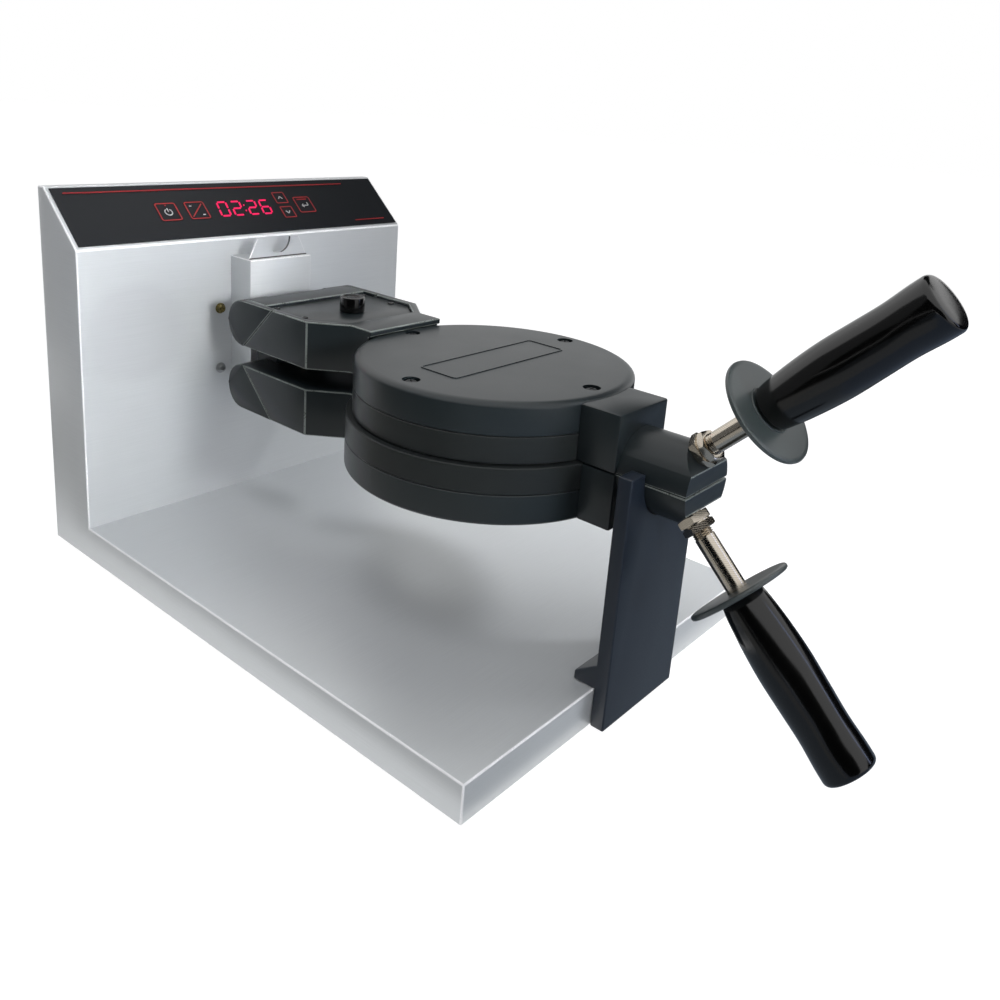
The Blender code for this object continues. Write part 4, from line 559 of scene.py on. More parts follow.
    def combine(self, other: "Workpiece", operation: str) -> "Workpiece":
        """Join, cut or trim this piece by another, which is used up."""
        step = self.obj.modifiers.new(operation.lower(), "BOOLEAN")
        step.operation = operation
        step.object = other.obj
        step.solver = "EXACT"
        self.choose()
        bpy.ops.object.modifier_apply(modifier=step.name)
        bpy.data.objects.remove(other.obj)
        return self

    def copies(self, places: list[Matrix]) -> "Workpiece":
        """Repeat this piece at several places as one object, and use up the first."""
        made = []
        for place in places:
            copy = self.obj.copy()
            copy.data = self.obj.data.copy()
            copy.data.transform(place)
            bpy.context.scene.collection.objects.link(copy)
            made.append(copy)
        name = self.obj.name
        bpy.data.objects.remove(self.obj)
        bpy.ops.object.select_all(action="DESELECT")
        for copy in made:
            copy.select_set(True)
        bpy.context.view_layer.objects.active = made[0]
        bpy.ops.object.join()
        return Workpiece(name)

    def place(self, matrix: Matrix) -> "Workpiece":
        """Put the piece into the machine's frame, with its place in its mesh."""
        self.obj.data.transform(matrix)
        if matrix.determinant() < 0:
            with self.editing():
                bpy.ops.mesh.select_all(action="SELECT")
                bpy.ops.mesh.flip_normals()
        return self

    def dress(
        self,
        finish: Finishes,
        body: str,
        *nodes: str,
        angle: float = 32.0,
        rubbed: Finishes | None = None,
    ) -> bpy.types.Object:
        """Smooth, paint and mount the finished piece.

        Args:
            finish: its finish.
            body: the CAD body that it rides on.
            nodes: the CAD nodes that it stands for.
            angle: edges sharper than this many degrees stay sharp.
            rubbed: the finish of the painted highlight on its rounded edges.

        Returns:
            The finished object.
        """
        with self.editing():
            bpy.ops.mesh.select_all(action="SELECT")
            bpy.ops.mesh.vert_connect_concave()
        bpy.ops.object.shade_smooth_by_angle(angle=math.radians(angle))
        wanted = [finish.value.material()] + ([rubbed.value.material()] if rubbed else [])
        while len(self.obj.data.materials) < len(wanted):
            self.obj.data.materials.append(None)
        for index, material in enumerate(wanted):
            self.obj.data.materials[index] = material
        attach(self.obj, body)
        if nodes:
            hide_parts(*nodes)
        LOG.info("%s: %d faces on %s", self.obj.name, len(self.obj.data.polygons), body)
        return self.obj


def paint(finish: Finishes, *nodes: str) -> None:
    """Give CAD nodes that keep their shape their finish."""
    for node in nodes:
        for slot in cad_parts[node].material_slots:
            slot.material = finish.value.material()
        LOG.info("%s: kept, %s", node, finish.value.name)


def rounded_node(
    name: str,
    node: str,
    body: str,
    finish: Finishes,
    width: float,
    shortest: float,
    steps: int = 2,
    test: Callable[[Vector], bool] | None = None,
    rubbed: Finishes | None = None,
) -> bpy.types.Object:
    """Copy a CAD node, round its long outward edges and dress it.

    Args:
        name: the new piece's name.
        node: the CAD node.
        body: the CAD body that it rides on.
        finish: its finish.
        width: the rounding's width.
        shortest: edges below this length stay as they are.
        steps: the rounding's segments.
        test: keeps only edges whose middle passes it.
        rubbed: the finish of the painted highlight on the rounding, if it differs.

    Returns:
        The finished object.
    """
    piece = Workpiece.node_copy(name, node).soften(width, steps, shortest, test, bool(rubbed))
    return piece.dress(finish, body, node, angle=40, rubbed=rubbed)


def middle(node: str) -> Vector:
    """Return the middle of a CAD node's box."""
    low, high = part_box(node)
    return (low + high) / 2


def ellipse_rim(radius: float, top: float, width: float, drop: float, steps: int = 6) -> list:
    """Return the rings of a rounded rim that ends in a flat top."""
    turns = [math.pi / 2 * i / steps for i in range(steps + 1)]
    return [
        (radius - width + width * math.cos(t), top - drop + drop * math.sin(t)) for t in turns
    ]


# shared places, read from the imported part
FRONT_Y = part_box("housing")[0].y
AXIS_Z = middle("flip_shaft").z
HEAD_Y = middle("lower_cover").y
AXIS = Vector((0, FRONT_Y, AXIS_Z))


def turned_to(axis: Vector, across: Vector, root: Vector) -> Matrix:
    """Return a frame whose Z runs along an axis and whose X runs across it."""
    z = axis.normalized()
    x = across.normalized()
    return Matrix.Translation(root) @ Matrix((x, z.cross(x), z)).transposed().to_4x4()


@dataclass(frozen=True)
class CrossScrew:
    """A pan-head screw with a cross recess."""

    radius: float = 0.0034
    height: float = 0.0022
    slot_reach: float = 0.0019
    slot_width: float = 0.0007
    slot_depth: float = 0.0012

    def build(self, name: str) -> Workpiece:
        """Turn the head and cut its cross; it stands on Z = 0 and points up."""
        rim = ellipse_rim(self.radius, self.height, self.radius * 0.45, self.height * 0.75, 4)
        head = Workpiece.disc(name, self.radius, -0.0004, 28).grow(rim)
        half = self.slot_width / 2
        for reach in ((self.slot_reach, half), (half, self.slot_reach)):
            low = (-reach[0], -reach[1], self.height - self.slot_depth)
            cutter = Workpiece.block("cutter", low, (reach[0], reach[1], self.height * 1.5))
            head.combine(cutter, "DIFFERENCE")
        return head


# sub-assemblies


@dataclass
class SteelBody:
    """The folded stainless body with its panels, feet and inlet."""

    fold_radius: float = 0.0010
    shortest_fold: float = 0.007
    panel_screw_inset: float = 0.0095
    foot_recess: float = 0.0045
    tread_soft: float = 0.0012
    screw: CrossScrew = CrossScrew()

    def build(self) -> None:
        """Make the body's pieces."""
        self.shell()
        self.back_screws()
        self.feet()
        paint(Finishes.STAINLESS, "back_panel")
        paint(Finishes.ZINC, "bottom_plate")
        paint(Finishes.INLET, "mains_inlet")
        paint(Finishes.BOARD, "control_board", "power_board")

    def shell(self) -> None:
        """Round the folds of the outer sheet and paint a highlight on them."""
        low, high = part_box("housing")
        reach = high.x - HAIR

        def outside(point: Vector) -> bool:
            """Tell whether an edge lies on the outer skin, and not in the back's opening."""
            behind = low.z + 0.004 < point.z < high.z - 0.05 and point.y > low.y + 0.3
            return abs(point.x) > reach or (abs(point.x) < 10 * HAIR and not behind)

        rounded_node(
            "steel_body", "housing", "base", Finishes.STAINLESS, self.fold_radius,
            self.shortest_fold, 3, outside, Finishes.STEEL_FOLD,
        )

    def back_screws(self) -> None:
        """Eight screws around the back panel, four under the bottom plate."""
        low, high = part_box("back_panel")
        inset = self.panel_screw_inset
        xs = (low.x + inset, 0.0, high.x - inset)
        zs = (low.z + inset, (low.z + high.z) / 2, high.z - inset)
        spots = [(x, high.y, z) for x in xs for z in zs if (x, z) != (xs[1], zs[1])]
        self.screws("back_panel_screws", (0, 1, 0), spots)
        low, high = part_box("bottom_plate")
        inset = 1.2 * self.panel_screw_inset
        ys = (low.y + inset, (low.y + high.y) / 2, high.y - inset)
        spots = [(x, y, low.z) for x in (low.x + inset, high.x - inset) for y in ys]
        self.screws("bottom_plate_screws", (0, 0, -1), spots)

    def screws(self, name: str, out: Point, spots: list[Point]) -> None:
        """Set one screw on each spot, with its head towards the outside."""
        places = [turned_to(Vector(out), Vector((1, 0, 0)), Vector(spot)) for spot in spots]
        self.screw.build(name).copies(places).dress(Finishes.ZINC, "base")

    def feet(self) -> None:
        """Rubber feet with a rounded tread and a recess sunk in the underside."""
        for name in ("front_left_foot", "front_right_foot", "rear_left_foot", "rear_right_foot"):
            low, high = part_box(name)
            radius, height = (high.x - low.x) / 2, high.z - low.z
            soft = self.tread_soft
            foot = Workpiece.disc(f"{name}_tread", radius - soft, 0.0, 48)
            foot.grow([(radius - 0.35 * soft, 0.3 * soft), (radius, soft), (radius, height)])
            foot.sink(True, radius - soft - self.foot_recess, height * 0.45)
            foot.place(Matrix.Translation((middle(name).x, middle(name).y, low.z)))
            foot.dress(Finishes.RUBBER, "base", name)


@dataclass
class ControlPanel:
    """The film on the slope: printed red lines, key outlines and marks, and the lit time."""

    film: float = 0.0008
    margin: float = 0.0028
    film_lift: float = 0.00012
    line: float = 0.0009
    mark_line: float = 0.0008
    digit_width: float = 0.0082
    digit_height: float = 0.0140
    digit_pitch: float = 0.0126
    digit_slant: float = 0.10
    segment: float = 0.0013
    digit_columns: tuple = (-1.58, -0.58, 0.58, 1.58)
    digits_shown: str = "0226"
    # ends of the two printed rules: X and distance up the slope
    rules: tuple = (((-0.142, 0.0508), (0.113, 0.0508)), ((0.104, 0.0087), (0.138, 0.0087)))
    display_x: float = -0.0012
    display_s: float = 0.0290

    def __post_init__(self) -> None:
        """Find the slope's frame from the overlay's box."""
        low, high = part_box("control_overlay")
        angle = math.atan2(high.z - low.z, high.y - low.y)
        for _ in range(6):
            rise = high.z - low.z - self.film * math.cos(angle)
            run = high.y - low.y - self.film * math.sin(angle)
            angle = math.atan2(rise, run)
        self.up = Vector((0, math.cos(angle), math.sin(angle)))
        self.out = Vector((0, -math.sin(angle), math.cos(angle)))
        self.root = Vector((0, low.y, low.z)) + self.out * self.film - self.up * self.margin

    def plane(self, x: float, s: float, lift: float = 0.0) -> Matrix:
        """Return the frame on the film at X and a distance up the slope."""
        root = self.root + self.up * s + self.out * lift
        return turned_to(self.out, Vector((1, 0, 0)), root) @ Matrix.Translation((x, 0, 0))

    def build(self) -> None:
        """Make the panel's printed and lit pieces."""
        paint(Finishes.OVERLAY, "control_overlay")
        paint(Finishes.KEY_FILM, "power_key", "mode_key", "up_key", "down_key", "enter_key")
        paint(Finishes.WINDOW, "display_module")
        self.lines()
        self.keys()
        self.digits()

    def bar(self, name: str, start: tuple, end: tuple, width: float) -> Workpiece:
        """Return one printed stroke between two points of the film."""
        run = math.hypot(end[0] - start[0], end[1] - start[1])
        turn = math.atan2(end[1] - start[1], end[0] - start[0])
        stroke = Workpiece.block(name, (0, -width / 2, 0), (run, width / 2, self.film_lift))
        stroke.soften(width * 0.28, 2, 0.0)
        spot = Matrix.Translation((start[0], start[1], 0)) @ Matrix.Rotation(turn, 4, "Z")
        return stroke.place(spot)

    def strokes(self, name: str, width: float, lines: list | tuple) -> Workpiece:
        """Return several strokes as one print."""
        first, *others = [self.bar(name, a, b, width) for a, b in lines]
        first.choose(*others)
        bpy.ops.object.join()
        return Workpiece(name)

    def lines(self) -> None:
        """The long thin line near the top and the short one at the lower right."""
        rules = self.strokes("panel_rules", self.line, self.rules)
        rules.place(self.plane(0, 0))
        rules.dress(Finishes.RED_PRINT, "base")

    def outline(self, name: str, half: float, corner: float) -> Workpiece:
        """Return a thin square frame with round corners, centred on Z."""
        ring = Workpiece.block(name, (-half, -half, 0), (half, half, self.film_lift))
        ring.round_corners(corner, 5)
        inner = half - self.line
        hole = Workpiece.block("cutter", (-inner, -inner, -1e-4), (inner, inner, 1e-3))
        hole.round_corners(max(corner - self.line, 2e-4), 5)
        return ring.combine(hole, "DIFFERENCE")

    def keys(self) -> None:
        """Outlines and marks, which travel with their keys."""
        arc = [math.radians(120 + 300 * i / 9) for i in range(10)]
        ring = [(0.0030 * math.cos(t), 0.0030 * math.sin(t) - 0.0004) for t in arc]
        power = list(zip(ring, ring[1:])) + [((0, -0.0002), (0, 0.0034))]
        mode = [((-0.0052, 0.0044), (-0.0032, 0.0044)), ((0.0030, -0.0046), (0.0052, -0.0046))]
        up = [((-0.0020, -0.0012), (0, 0.0014)), ((0, 0.0014), (0.0020, -0.0012))]
        down = [((-0.0020, 0.0012), (0, -0.0014)), ((0, -0.0014), (0.0020, 0.0012))]
        enter = [
            ((0.0034, 0.0022), (0.0034, -0.0010)),
            ((0.0034, -0.0010), (-0.0030, -0.0010)),
            ((-0.0030, -0.0010), (-0.0012, 0.0006)),
            ((-0.0030, -0.0010), (-0.0012, -0.0026)),
        ]
        red = {
            "power": [((-0.0006, 0.0062), (0.0006, 0.0062))],
            "mode": [((-0.0062, -0.0062), (0.0062, 0.0062))],
            "enter": [((-0.0050, 0.0058), (0.0050, 0.0058))],
        }
        drawn = {"power": power, "mode": mode, "up": up, "down": down, "enter": enter}
        for key, marks in drawn.items():
            node, body = f"{key}_key", f"{key}_button"
            spot = middle(node)
            size = (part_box(node)[1].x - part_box(node)[0].x) / 2
            s = (spot - self.root).dot(self.up)
            face = self.plane(spot.x, s)
            edge = self.outline(f"{key}_key_outline", size, size * 0.22).place(face)
            edge.dress(Finishes.RED_PRINT, body)
            print_ = self.strokes(f"{key}_key_mark", self.mark_line, marks).place(face)
            print_.dress(Finishes.PALE_PRINT, body)
            if key in red:
                extra = self.strokes(f"{key}_key_red_mark", self.line, red[key]).place(face)
                extra.dress(Finishes.RED_PRINT, body)

    def digits(self) -> None:
        """The time 02:26 in slanted seven-segment digits."""
        half_w, half_h, t = self.digit_width / 2, self.digit_height / 2, self.segment
        gap = t * 0.62
        ends = {
            "top": ((-half_w + gap, half_h), (half_w - gap, half_h)),
            "middle": ((-half_w + gap, 0.0), (half_w - gap, 0.0)),
            "bottom": ((-half_w + gap, -half_h), (half_w - gap, -half_h)),
            "high_left": ((-half_w, gap), (-half_w, half_h - gap)),
            "high_right": ((half_w, gap), (half_w, half_h - gap)),
            "low_left": ((-half_w, gap - half_h), (-half_w, -gap)),
            "low_right": ((half_w, gap - half_h), (half_w, -gap)),
        }
        shown = {
            "0": "top bottom high_left high_right low_left low_right",
            "2": "top middle bottom high_right low_left",
            "6": "top middle bottom high_left low_left low_right",
        }
        lines = []
        for column, digit in zip(self.digit_columns, self.digits_shown):
            shift = column * self.digit_pitch
            for part in shown[digit].split():
                lines.append([(x + shift, y) for x, y in ends[part]])
        dot = t * 0.40
        apart = 0.2 * self.digit_height
        lines += [[(-dot, y), (dot, y)] for y in (-apart, apart)]
        time = self.strokes("lit_time", t, lines)
        lean = Matrix.Identity(4)
        lean[0][1] = self.digit_slant
        time.place(self.plane(self.display_x, self.display_s) @ lean)
        time.dress(Finishes.DIGIT, "base")


@dataclass
class BearingFront:
    """The steel bracket with its notched tab, the bolts beside it, the turning parts behind."""

    edge: float = 0.0007
    shortest_edge: float = 0.012
    seat_inset: float = 0.0040
    shank_share: float = 0.6
    socket_depth: float = 0.0018
    washer_radius: float = 0.0042
    washer_height: float = 0.0008
    head_radius: float = 0.0031
    head_height: float = 0.0034
    socket_radius: float = 0.0017
    tab_height: float = 0.0155
    tab_setback: float = 0.0044
    notch_reach: float = 0.0125
    shade_line: float = 0.0008
    shade_line_reach: float = 0.0272

    def build(self) -> None:
        """Make the bracket and its neighbours."""
        # the bracket's rounded edges carry a painted highlight
        bracket = rounded_node(
            "bracket_sheet", "bearing_bracket", "base", Finishes.STAINLESS, self.edge,
            self.shortest_edge, rubbed=Finishes.STEEL_FOLD,
        )
        self.notch_cheek(bracket.data)
        self.tab_foot_shade()
        for node in ("left_low_bolt", "left_high_bolt", "right_low_bolt", "right_high_bolt"):
            self.bolt(node)
        paint(Finishes.CAST_COATED, "bearing_housing", "hub")
        paint(Finishes.BRONZE, "front_bush", "rear_bush")
        paint(Finishes.NICKEL, "flip_shaft")
        paint(Finishes.ZINC, "stop_cam")
        paint(Finishes.SLEEVE, "shaft_harness")

    def notch_cheek(self, mesh: bpy.types.Mesh) -> None:
        """Paint shade on the notch's inner cheek that lies in shade, with a dull dark finish."""
        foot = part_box("bearing_bracket")[1].z - self.tab_height
        mesh.materials.append(Finishes.SHEARED.value.material())
        for face in mesh.polygons:
            inside = abs(face.center.x) < self.notch_reach and face.center.z > foot
            if inside and face.normal.x < -0.3:
                face.material_index = len(mesh.materials) - 1

    def tab_foot_shade(self) -> None:
        """A dark strip of painted shade along the foot of the tab, where a shaded line runs."""
        low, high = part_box("bearing_bracket")
        front, foot, reach = low.y + self.tab_setback, high.z - self.tab_height, self.shade_line_reach
        thick = self.shade_line
        shade_line = Workpiece.block(
            "tab_foot_shade_strip",
            (-reach, front - thick, foot - thick / 4),
            (reach, front + thick / 4, foot + thick),
        )
        shade_line.soften(thick * 0.3, 2, 0.001)
        shade_line.dress(Finishes.SEALANT, "base")

    def bolt(self, node: str) -> None:
        """One cap screw on its washer, with its shank through the wall."""
        low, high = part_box(node)
        out = Vector((0, -1, 0))
        seat = low.y + self.seat_inset
        length = high.y - seat
        shank = (high.x - low.x) / 2 * self.shank_share
        bolt = Workpiece.disc(f"{node}_cap_screw", shank, -length, 32)
        r, h = self.washer_radius, self.washer_height
        soft = [(r, h * 0.7), (r - 0.0003, h)]
        bolt.grow([(shank, 0.0), (r, HAIR)] + soft + [(self.head_radius, h + HAIR)])
        self.raise_head(bolt, h)
        root = Vector((middle(node).x, seat, middle(node).z))
        bolt.place(turned_to(out, Vector((1, 0, 0)), root))
        finish = Finishes.YELLOW_ZINC if "high" in node else Finishes.ZINC
        bolt.dress(finish, "base", node)

    def raise_head(self, bolt: Workpiece, base: float) -> None:
        """Raise the rounded head and cut its hexagon socket."""
        top = base + self.head_height - self.washer_height
        rings = ellipse_rim(self.head_radius, top, 0.0009, 0.0009, 3)
        level = max(v.co.z for v in bolt.obj.data.vertices)
        with bolt.editing():
            bolt.pick_faces(lambda c, n: abs(c.z - level) < 1e-6 and n.z > 0.9)
            bolt.raise_rim(rings, self.head_radius, level)
        socket = Workpiece.disc("cutter", self.socket_radius, top - self.socket_depth, 6)
        socket.grow([(self.socket_radius, top + 0.002)])
        bolt.combine(socket, "DIFFERENCE")


class Half(Enum):
    """The head's two halves: name, way from the flip axis, and the body that each rides on."""

    UPPER = ("upper", 1, "lid")
    LOWER = ("lower", -1, "flip_head")


@dataclass
class BakingHalf:
    """One half of the head: cover, plate, block, handle and arm."""

    half: Half
    steps: int = 160
    rim_width: float = 0.0060
    rim_drop: float = 0.0036
    lip: float = 0.0005
    wall: float = 0.004
    roof: float = 0.004
    recess_radius: float = 0.0056
    recess_depth: float = 0.0028
    screw_circle: float = 0.0770
    badge: tuple[float, float] = (0.0550, 0.0155)
    badge_line: float = 0.0011
    badge_height: float = 0.0005
    badge_corner: float = 0.0030
    cavity_rim: float = 0.0115
    cavity_depth: float = 0.0125
    cavity_draft: float = 0.0030
    stud_pitch: float = 0.0235
    stud_foot: float = 0.0135
    stud_tip: float = 0.0100
    stud_height: float = 0.0098
    handle_angle: float = math.radians(44.3)
    handle_root: float = -0.0082
    block_end: float = 0.0275
    rod_radius: float = 0.0062
    guard_reach: float = 0.0750
    guard_radius: float = 0.0308
    guard_thickness: float = 0.0032
    # inset from the rim and height over the face, then radius and height of the low boss
    guard_rim: tuple = ((0.0030, 0.0), (0.0011, 0.0001), (0.0003, 0.0006))
    guard_boss: tuple = ((0.0138, 0.0), (0.0136, 0.0005), (0.0130, 0.0006), (0.0128, -0.0004))
    grip_end: float = 0.1850
    # share of the grip's length and radius
    grip_profile: tuple = (
        (0.0, 0.0118), (0.10, 0.0138), (0.25, 0.0154), (0.42, 0.0162),
        (0.60, 0.0157), (0.76, 0.0152), (0.90, 0.0158), (0.965, 0.0158),
    )
    grip_foot: float = 0.05
    grip_rings: int = 30
    # radius of its mouth, and radius and height of the first full ring
    grip_mouth: Point = (0.0112, 0.0120, 0.0008)
    # width and drop of the rounded end, then radius and depth of the rings on its crown
    grip_dome: tuple[float, float] = (0.0026, 0.0007)
    grip_crown: tuple = ((0.0112, 0.0003), (0.0080, 0.0001), (0.0045, 0.00001))
    block_edge: float = 0.0009
    block_reach: float = 0.042
    lid_edge: float = 0.0006
    lid_screw_inset: float = 0.0055
    lid_screw_front: float = 0.0345
    thread_pitch: float = 0.00125
    thread_depth: float = 0.0008
    thread_turns: int = 3
    thread_start: float = 0.0104
    room: float = 0.0003
    nut_radius: float = 0.0105
    nut_height: float = 0.0050
    lock_nut_radius: float = 0.0098
    lock_nut_height: float = 0.0045
    lock_nut_start: float = 0.0056
    lock_nut_turn: float = math.radians(22)
    nut_neck: tuple[float, float] = (0.0040, 0.0066)
    nut_neck_radius: float = 0.0084
    stud_stem: float = 0.0040
    stud_soft: float = 0.0004
    # inset and drop of the stud's rim and of its dish
    stud_rim: tuple = (
        (0.0, 0.0010), (0.0003, 0.0003), (0.0010, 0.0), (0.0022, 0.0), (0.0030, 0.0007)
    )
    screw: CrossScrew = CrossScrew(0.0040, 0.0020, 0.0022, 0.0008, 0.0011)
    lid_screw: CrossScrew = CrossScrew(0.0024, 0.0011, 0.0014, 0.0005, 0.0008)

    def __post_init__(self) -> None:
        """Unpack the half's name, side and body."""
        self.name, self.side, self.body = self.half.value
        flip = Matrix.Scale(self.side, 4, (0, 0, 1))
        self.head = Matrix.Translation((0, HEAD_Y, AXIS_Z)) @ flip
        self.plain = Matrix.Translation((0, 0, AXIS_Z)) @ flip
        away = Vector((0, -math.cos(self.handle_angle), self.side * math.sin(self.handle_angle)))
        root = AXIS + Vector((0, self.handle_root, 0))
        self.handle = turned_to(away, Vector((1, 0, 0)), root)

    def span(self, node: str) -> tuple[float, float]:
        """Return how far from the flip axis a node of this half starts and ends."""
        low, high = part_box(f"{self.name}_{node}")
        ends = sorted((abs(low.z - AXIS_Z), abs(high.z - AXIS_Z)))
        return ends[0], ends[1]

    def radius(self, node: str) -> float:
        """Return half the width of a node of this half."""
        low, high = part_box(f"{self.name}_{node}")
        return (high.x - low.x) / 2

    def finish(self, piece: Workpiece, finish: Finishes, node: str, angle: float) -> None:
        """Dress a piece in place of one of this half's nodes, smooth below the angle."""
        piece.dress(finish, self.body, f"{self.name}_{node}", angle=angle)

    def build(self) -> None:
        """Make the half."""
        self.cover()
        self.plate()
        self.block()
        self.rod()
        self.nuts()
        self.guard()
        self.grip()
        self.arm()
        self.stud()
        paint(Finishes.HEATER, f"{self.name}_heater")
        paint(Finishes.FIBRE, f"{self.name}_pad")
        paint(Finishes.NICKEL, f"{self.name}_hinge_pin")

    def cover(self) -> None:
        """Turn the cover, hollow it, sink its screws and raise its bare badge frame."""
        radius = self.radius("cover")
        low, top = self.span("cover")
        cover = Workpiece.disc(f"{self.name}_cover_casting", radius - self.lip, low, self.steps)
        rings = [(radius, low + self.lip)]
        cover.grow(rings + ellipse_rim(radius, top, self.rim_width, self.rim_drop, 8))
        cover.sink(True, self.wall - self.lip, top - self.roof - low)
        spots = [
            (self.screw_circle * math.cos(t), self.screw_circle * math.sin(t))
            for t in (0.0, math.pi / 2, math.pi, 1.5 * math.pi)
        ]
        for x, y in spots:
            pocket = Workpiece.disc("cutter", self.recess_radius, top - self.recess_depth, 40)
            pocket.grow([(self.recess_radius, top + 0.001)])
            cover.combine(pocket.place(Matrix.Translation((x, y, 0))), "DIFFERENCE")
        self.finish(cover.place(self.head), Finishes.CAST_COATED, "cover", 28)
        floor = top - self.recess_depth
        places = [
            Matrix.Translation((x, y, floor)) @ Matrix.Rotation(x * 9, 4, "Z") for x, y in spots
        ]
        screws = self.screw.build(f"{self.name}_cover_screws").copies(places)
        screws.place(self.head).dress(Finishes.BLACK_OXIDE, self.body)
        self.badge_frame(top)

    def badge_frame(self, top: float) -> None:
        """A plain raised frame on the cover, with nothing written in it."""
        x, y = self.badge
        low, high = (-x, -y, top - 10 * HAIR), (x, y, top + self.badge_height)
        badge = Workpiece.block(f"{self.name}_cover_frame", low, high)
        badge.round_corners(self.badge_corner, 6)
        badge.sink(False, self.badge_line, self.badge_height * 0.9)
        badge.place(self.head).dress(Finishes.CAST_COATED, self.body)

    def plate(self) -> None:
        """Turn the grid plate, sink its cavity and stand its studs in it."""
        radius = self.radius("plate")
        low, high = self.span("plate")
        soft = self.lip
        plate = Workpiece.disc(f"{self.name}_grid_plate", radius - soft, low, self.steps)
        plate.grow([(radius, low + soft), (radius, high - soft), (radius - soft, high)])
        rim = self.cavity_rim + (radius - self.upper_radius()) - soft
        plate.sink(True, rim, self.cavity_depth, self.cavity_draft)
        floor = low + self.cavity_depth
        stud = self.grid_stud(floor)
        cavity = self.upper_radius() - self.cavity_rim
        count = int(cavity / self.stud_pitch)
        places = [
            Matrix.Translation(((i + 0.5) * self.stud_pitch, (j + 0.5) * self.stud_pitch, 0))
            for i in range(-count, count)
            for j in range(-count, count)
            if math.hypot(i + 0.5, j + 0.5) * self.stud_pitch + self.stud_foot / 2
            < cavity - self.cavity_draft
        ]
        plate.combine(stud.copies(places), "UNION")
        self.finish(plate.place(self.head), Finishes.NON_STICK, "plate", 28)

    @staticmethod
    def upper_radius() -> float:
        """Return the radius of the upper half, which sets the size of the waffle."""
        low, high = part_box("upper_plate")
        return (high.x - low.x) / 2

    def grid_stud(self, floor: float) -> Workpiece:
        """Return one tapered stud with soft edges, standing on the cavity's floor."""
        foot, tip = self.stud_foot / 2, self.stud_tip / 2
        low = (-foot, -foot, floor - self.stud_height)
        stud = Workpiece.block("grid_stud", low, (foot, foot, floor + 5e-4))
        with stud.editing():
            stud.pick_faces(lambda c, n: n.z < -0.9)
            share = tip / foot
            bpy.ops.transform.resize(value=(share, share, 1), center_override=(0, 0, low[2]))
        return stud.soften(0.0009, 2, 0.004, lambda p: p.z < floor)

    def block(self) -> None:
        """The front block with its half collar."""
        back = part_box(f"{self.name}_block")[0].y + self.block_reach
        self.casting("front_block", "block", self.block_edge, 0.009, lambda p: p.y < back)

    def casting(
        self,
        name: str,
        node: str,
        width: float,
        shortest: float,
        test: Callable[[Vector], bool] | None = None,
    ) -> None:
        """Round the edges of one of this half's castings and paint a highlight on them.

        Args:
            name: the piece's name after the half's.
            node: the CAD node's name after the half's.
            width: the rounding's width.
            shortest: edges below this length stay as they are.
            test: keeps only edges whose middle passes it.
        """
        rounded_node(
            f"{self.name}_{name}", f"{self.name}_{node}", self.body, Finishes.CAST_COATED,
            width, shortest, test=test, rubbed=Finishes.CAST_EDGE,
        )

    def rod(self) -> None:
        """The plated rod, threaded where it enters its nuts."""
        start, end = self.block_end - 0.012, self.guard_reach + 0.060
        rod = Workpiece.disc(f"{self.name}_threaded_rod", self.rod_radius - 0.0005, start, 64)
        rings = [(self.rod_radius, start + 0.0005)]
        level = self.block_end + self.thread_start
        root = self.rod_radius - self.thread_depth
        for turn in range(self.thread_turns):
            z = level + turn * self.thread_pitch
            rings += [(self.rod_radius, z), (root, z + 0.45 * self.thread_pitch)]
        level += self.thread_turns * self.thread_pitch
        rings += [(self.rod_radius, level), (self.rod_radius, end)]
        self.finish(rod.grow(rings).place(self.handle), Finishes.NICKEL, "handle_rod", 25)

    def nuts(self) -> None:
        """A nut against the block and its lock nut, with chamfered corners."""
        low = self.block_end + self.room
        first = self.nut("nut", self.nut_radius, low, self.nut_height)
        start = low + self.lock_nut_start
        second = self.nut("nut", self.lock_nut_radius, start, self.lock_nut_height)
        foot, end = self.nut_neck
        neck = Workpiece.disc("neck", self.nut_neck_radius, low + foot, 48)
        neck.grow([(self.nut_neck_radius, low + end)])
        second.place(Matrix.Rotation(self.lock_nut_turn, 4, "Z"))
        pair = first.combine(neck, "UNION").combine(second, "UNION")
        bore = Workpiece.disc("cutter", self.rod_radius + 0.0002, low - 0.001, 48)
        pair.combine(bore.grow([(self.rod_radius + 0.0002, low + 0.02)]), "DIFFERENCE")
        pair.obj.name = f"{self.name}_nut_pair"
        self.finish(pair.place(self.handle), Finishes.NICKEL, "lock_nuts", 25)

    @staticmethod
    def nut(name: str, radius: float, low: float, height: float) -> Workpiece:
        """Return a hexagon with turned chamfers on both faces."""
        nut = Workpiece.disc(name, radius, low, 6).grow([(radius, low + height)])
        flat = radius * math.cos(math.pi / 6)
        trim = Workpiece.disc("cutter", flat * 0.98, low - 1e-5, 64)
        rise = (radius - flat) * 0.55
        rings = [(radius + 1e-4, low + rise), (radius + 1e-4, low + height - rise)]
        return nut.combine(trim.grow(rings + [(flat * 0.98, low + height + 1e-5)]), "INTERSECT")

    def guard(self) -> None:
        """The guard disc, thinned to a rounded rim."""
        start, t, r = self.guard_reach, self.guard_thickness, self.guard_radius
        disc = Workpiece.disc(f"{self.name}_guard_disc", r - self.guard_rim[0][0], start, 128)
        rings = [(r - inset, start + rise) for inset, rise in self.guard_rim[1:]]
        rings += [(r, start + t / 2)]
        rings += [(r - inset, start + t - rise) for inset, rise in reversed(self.guard_rim)]
        disc.grow(rings + [(radius, start + t + rise) for radius, rise in self.guard_boss])
        self.bore(disc, start, start + 0.01)
        self.finish(disc.place(self.handle), Finishes.GUARD, "guard", 35)

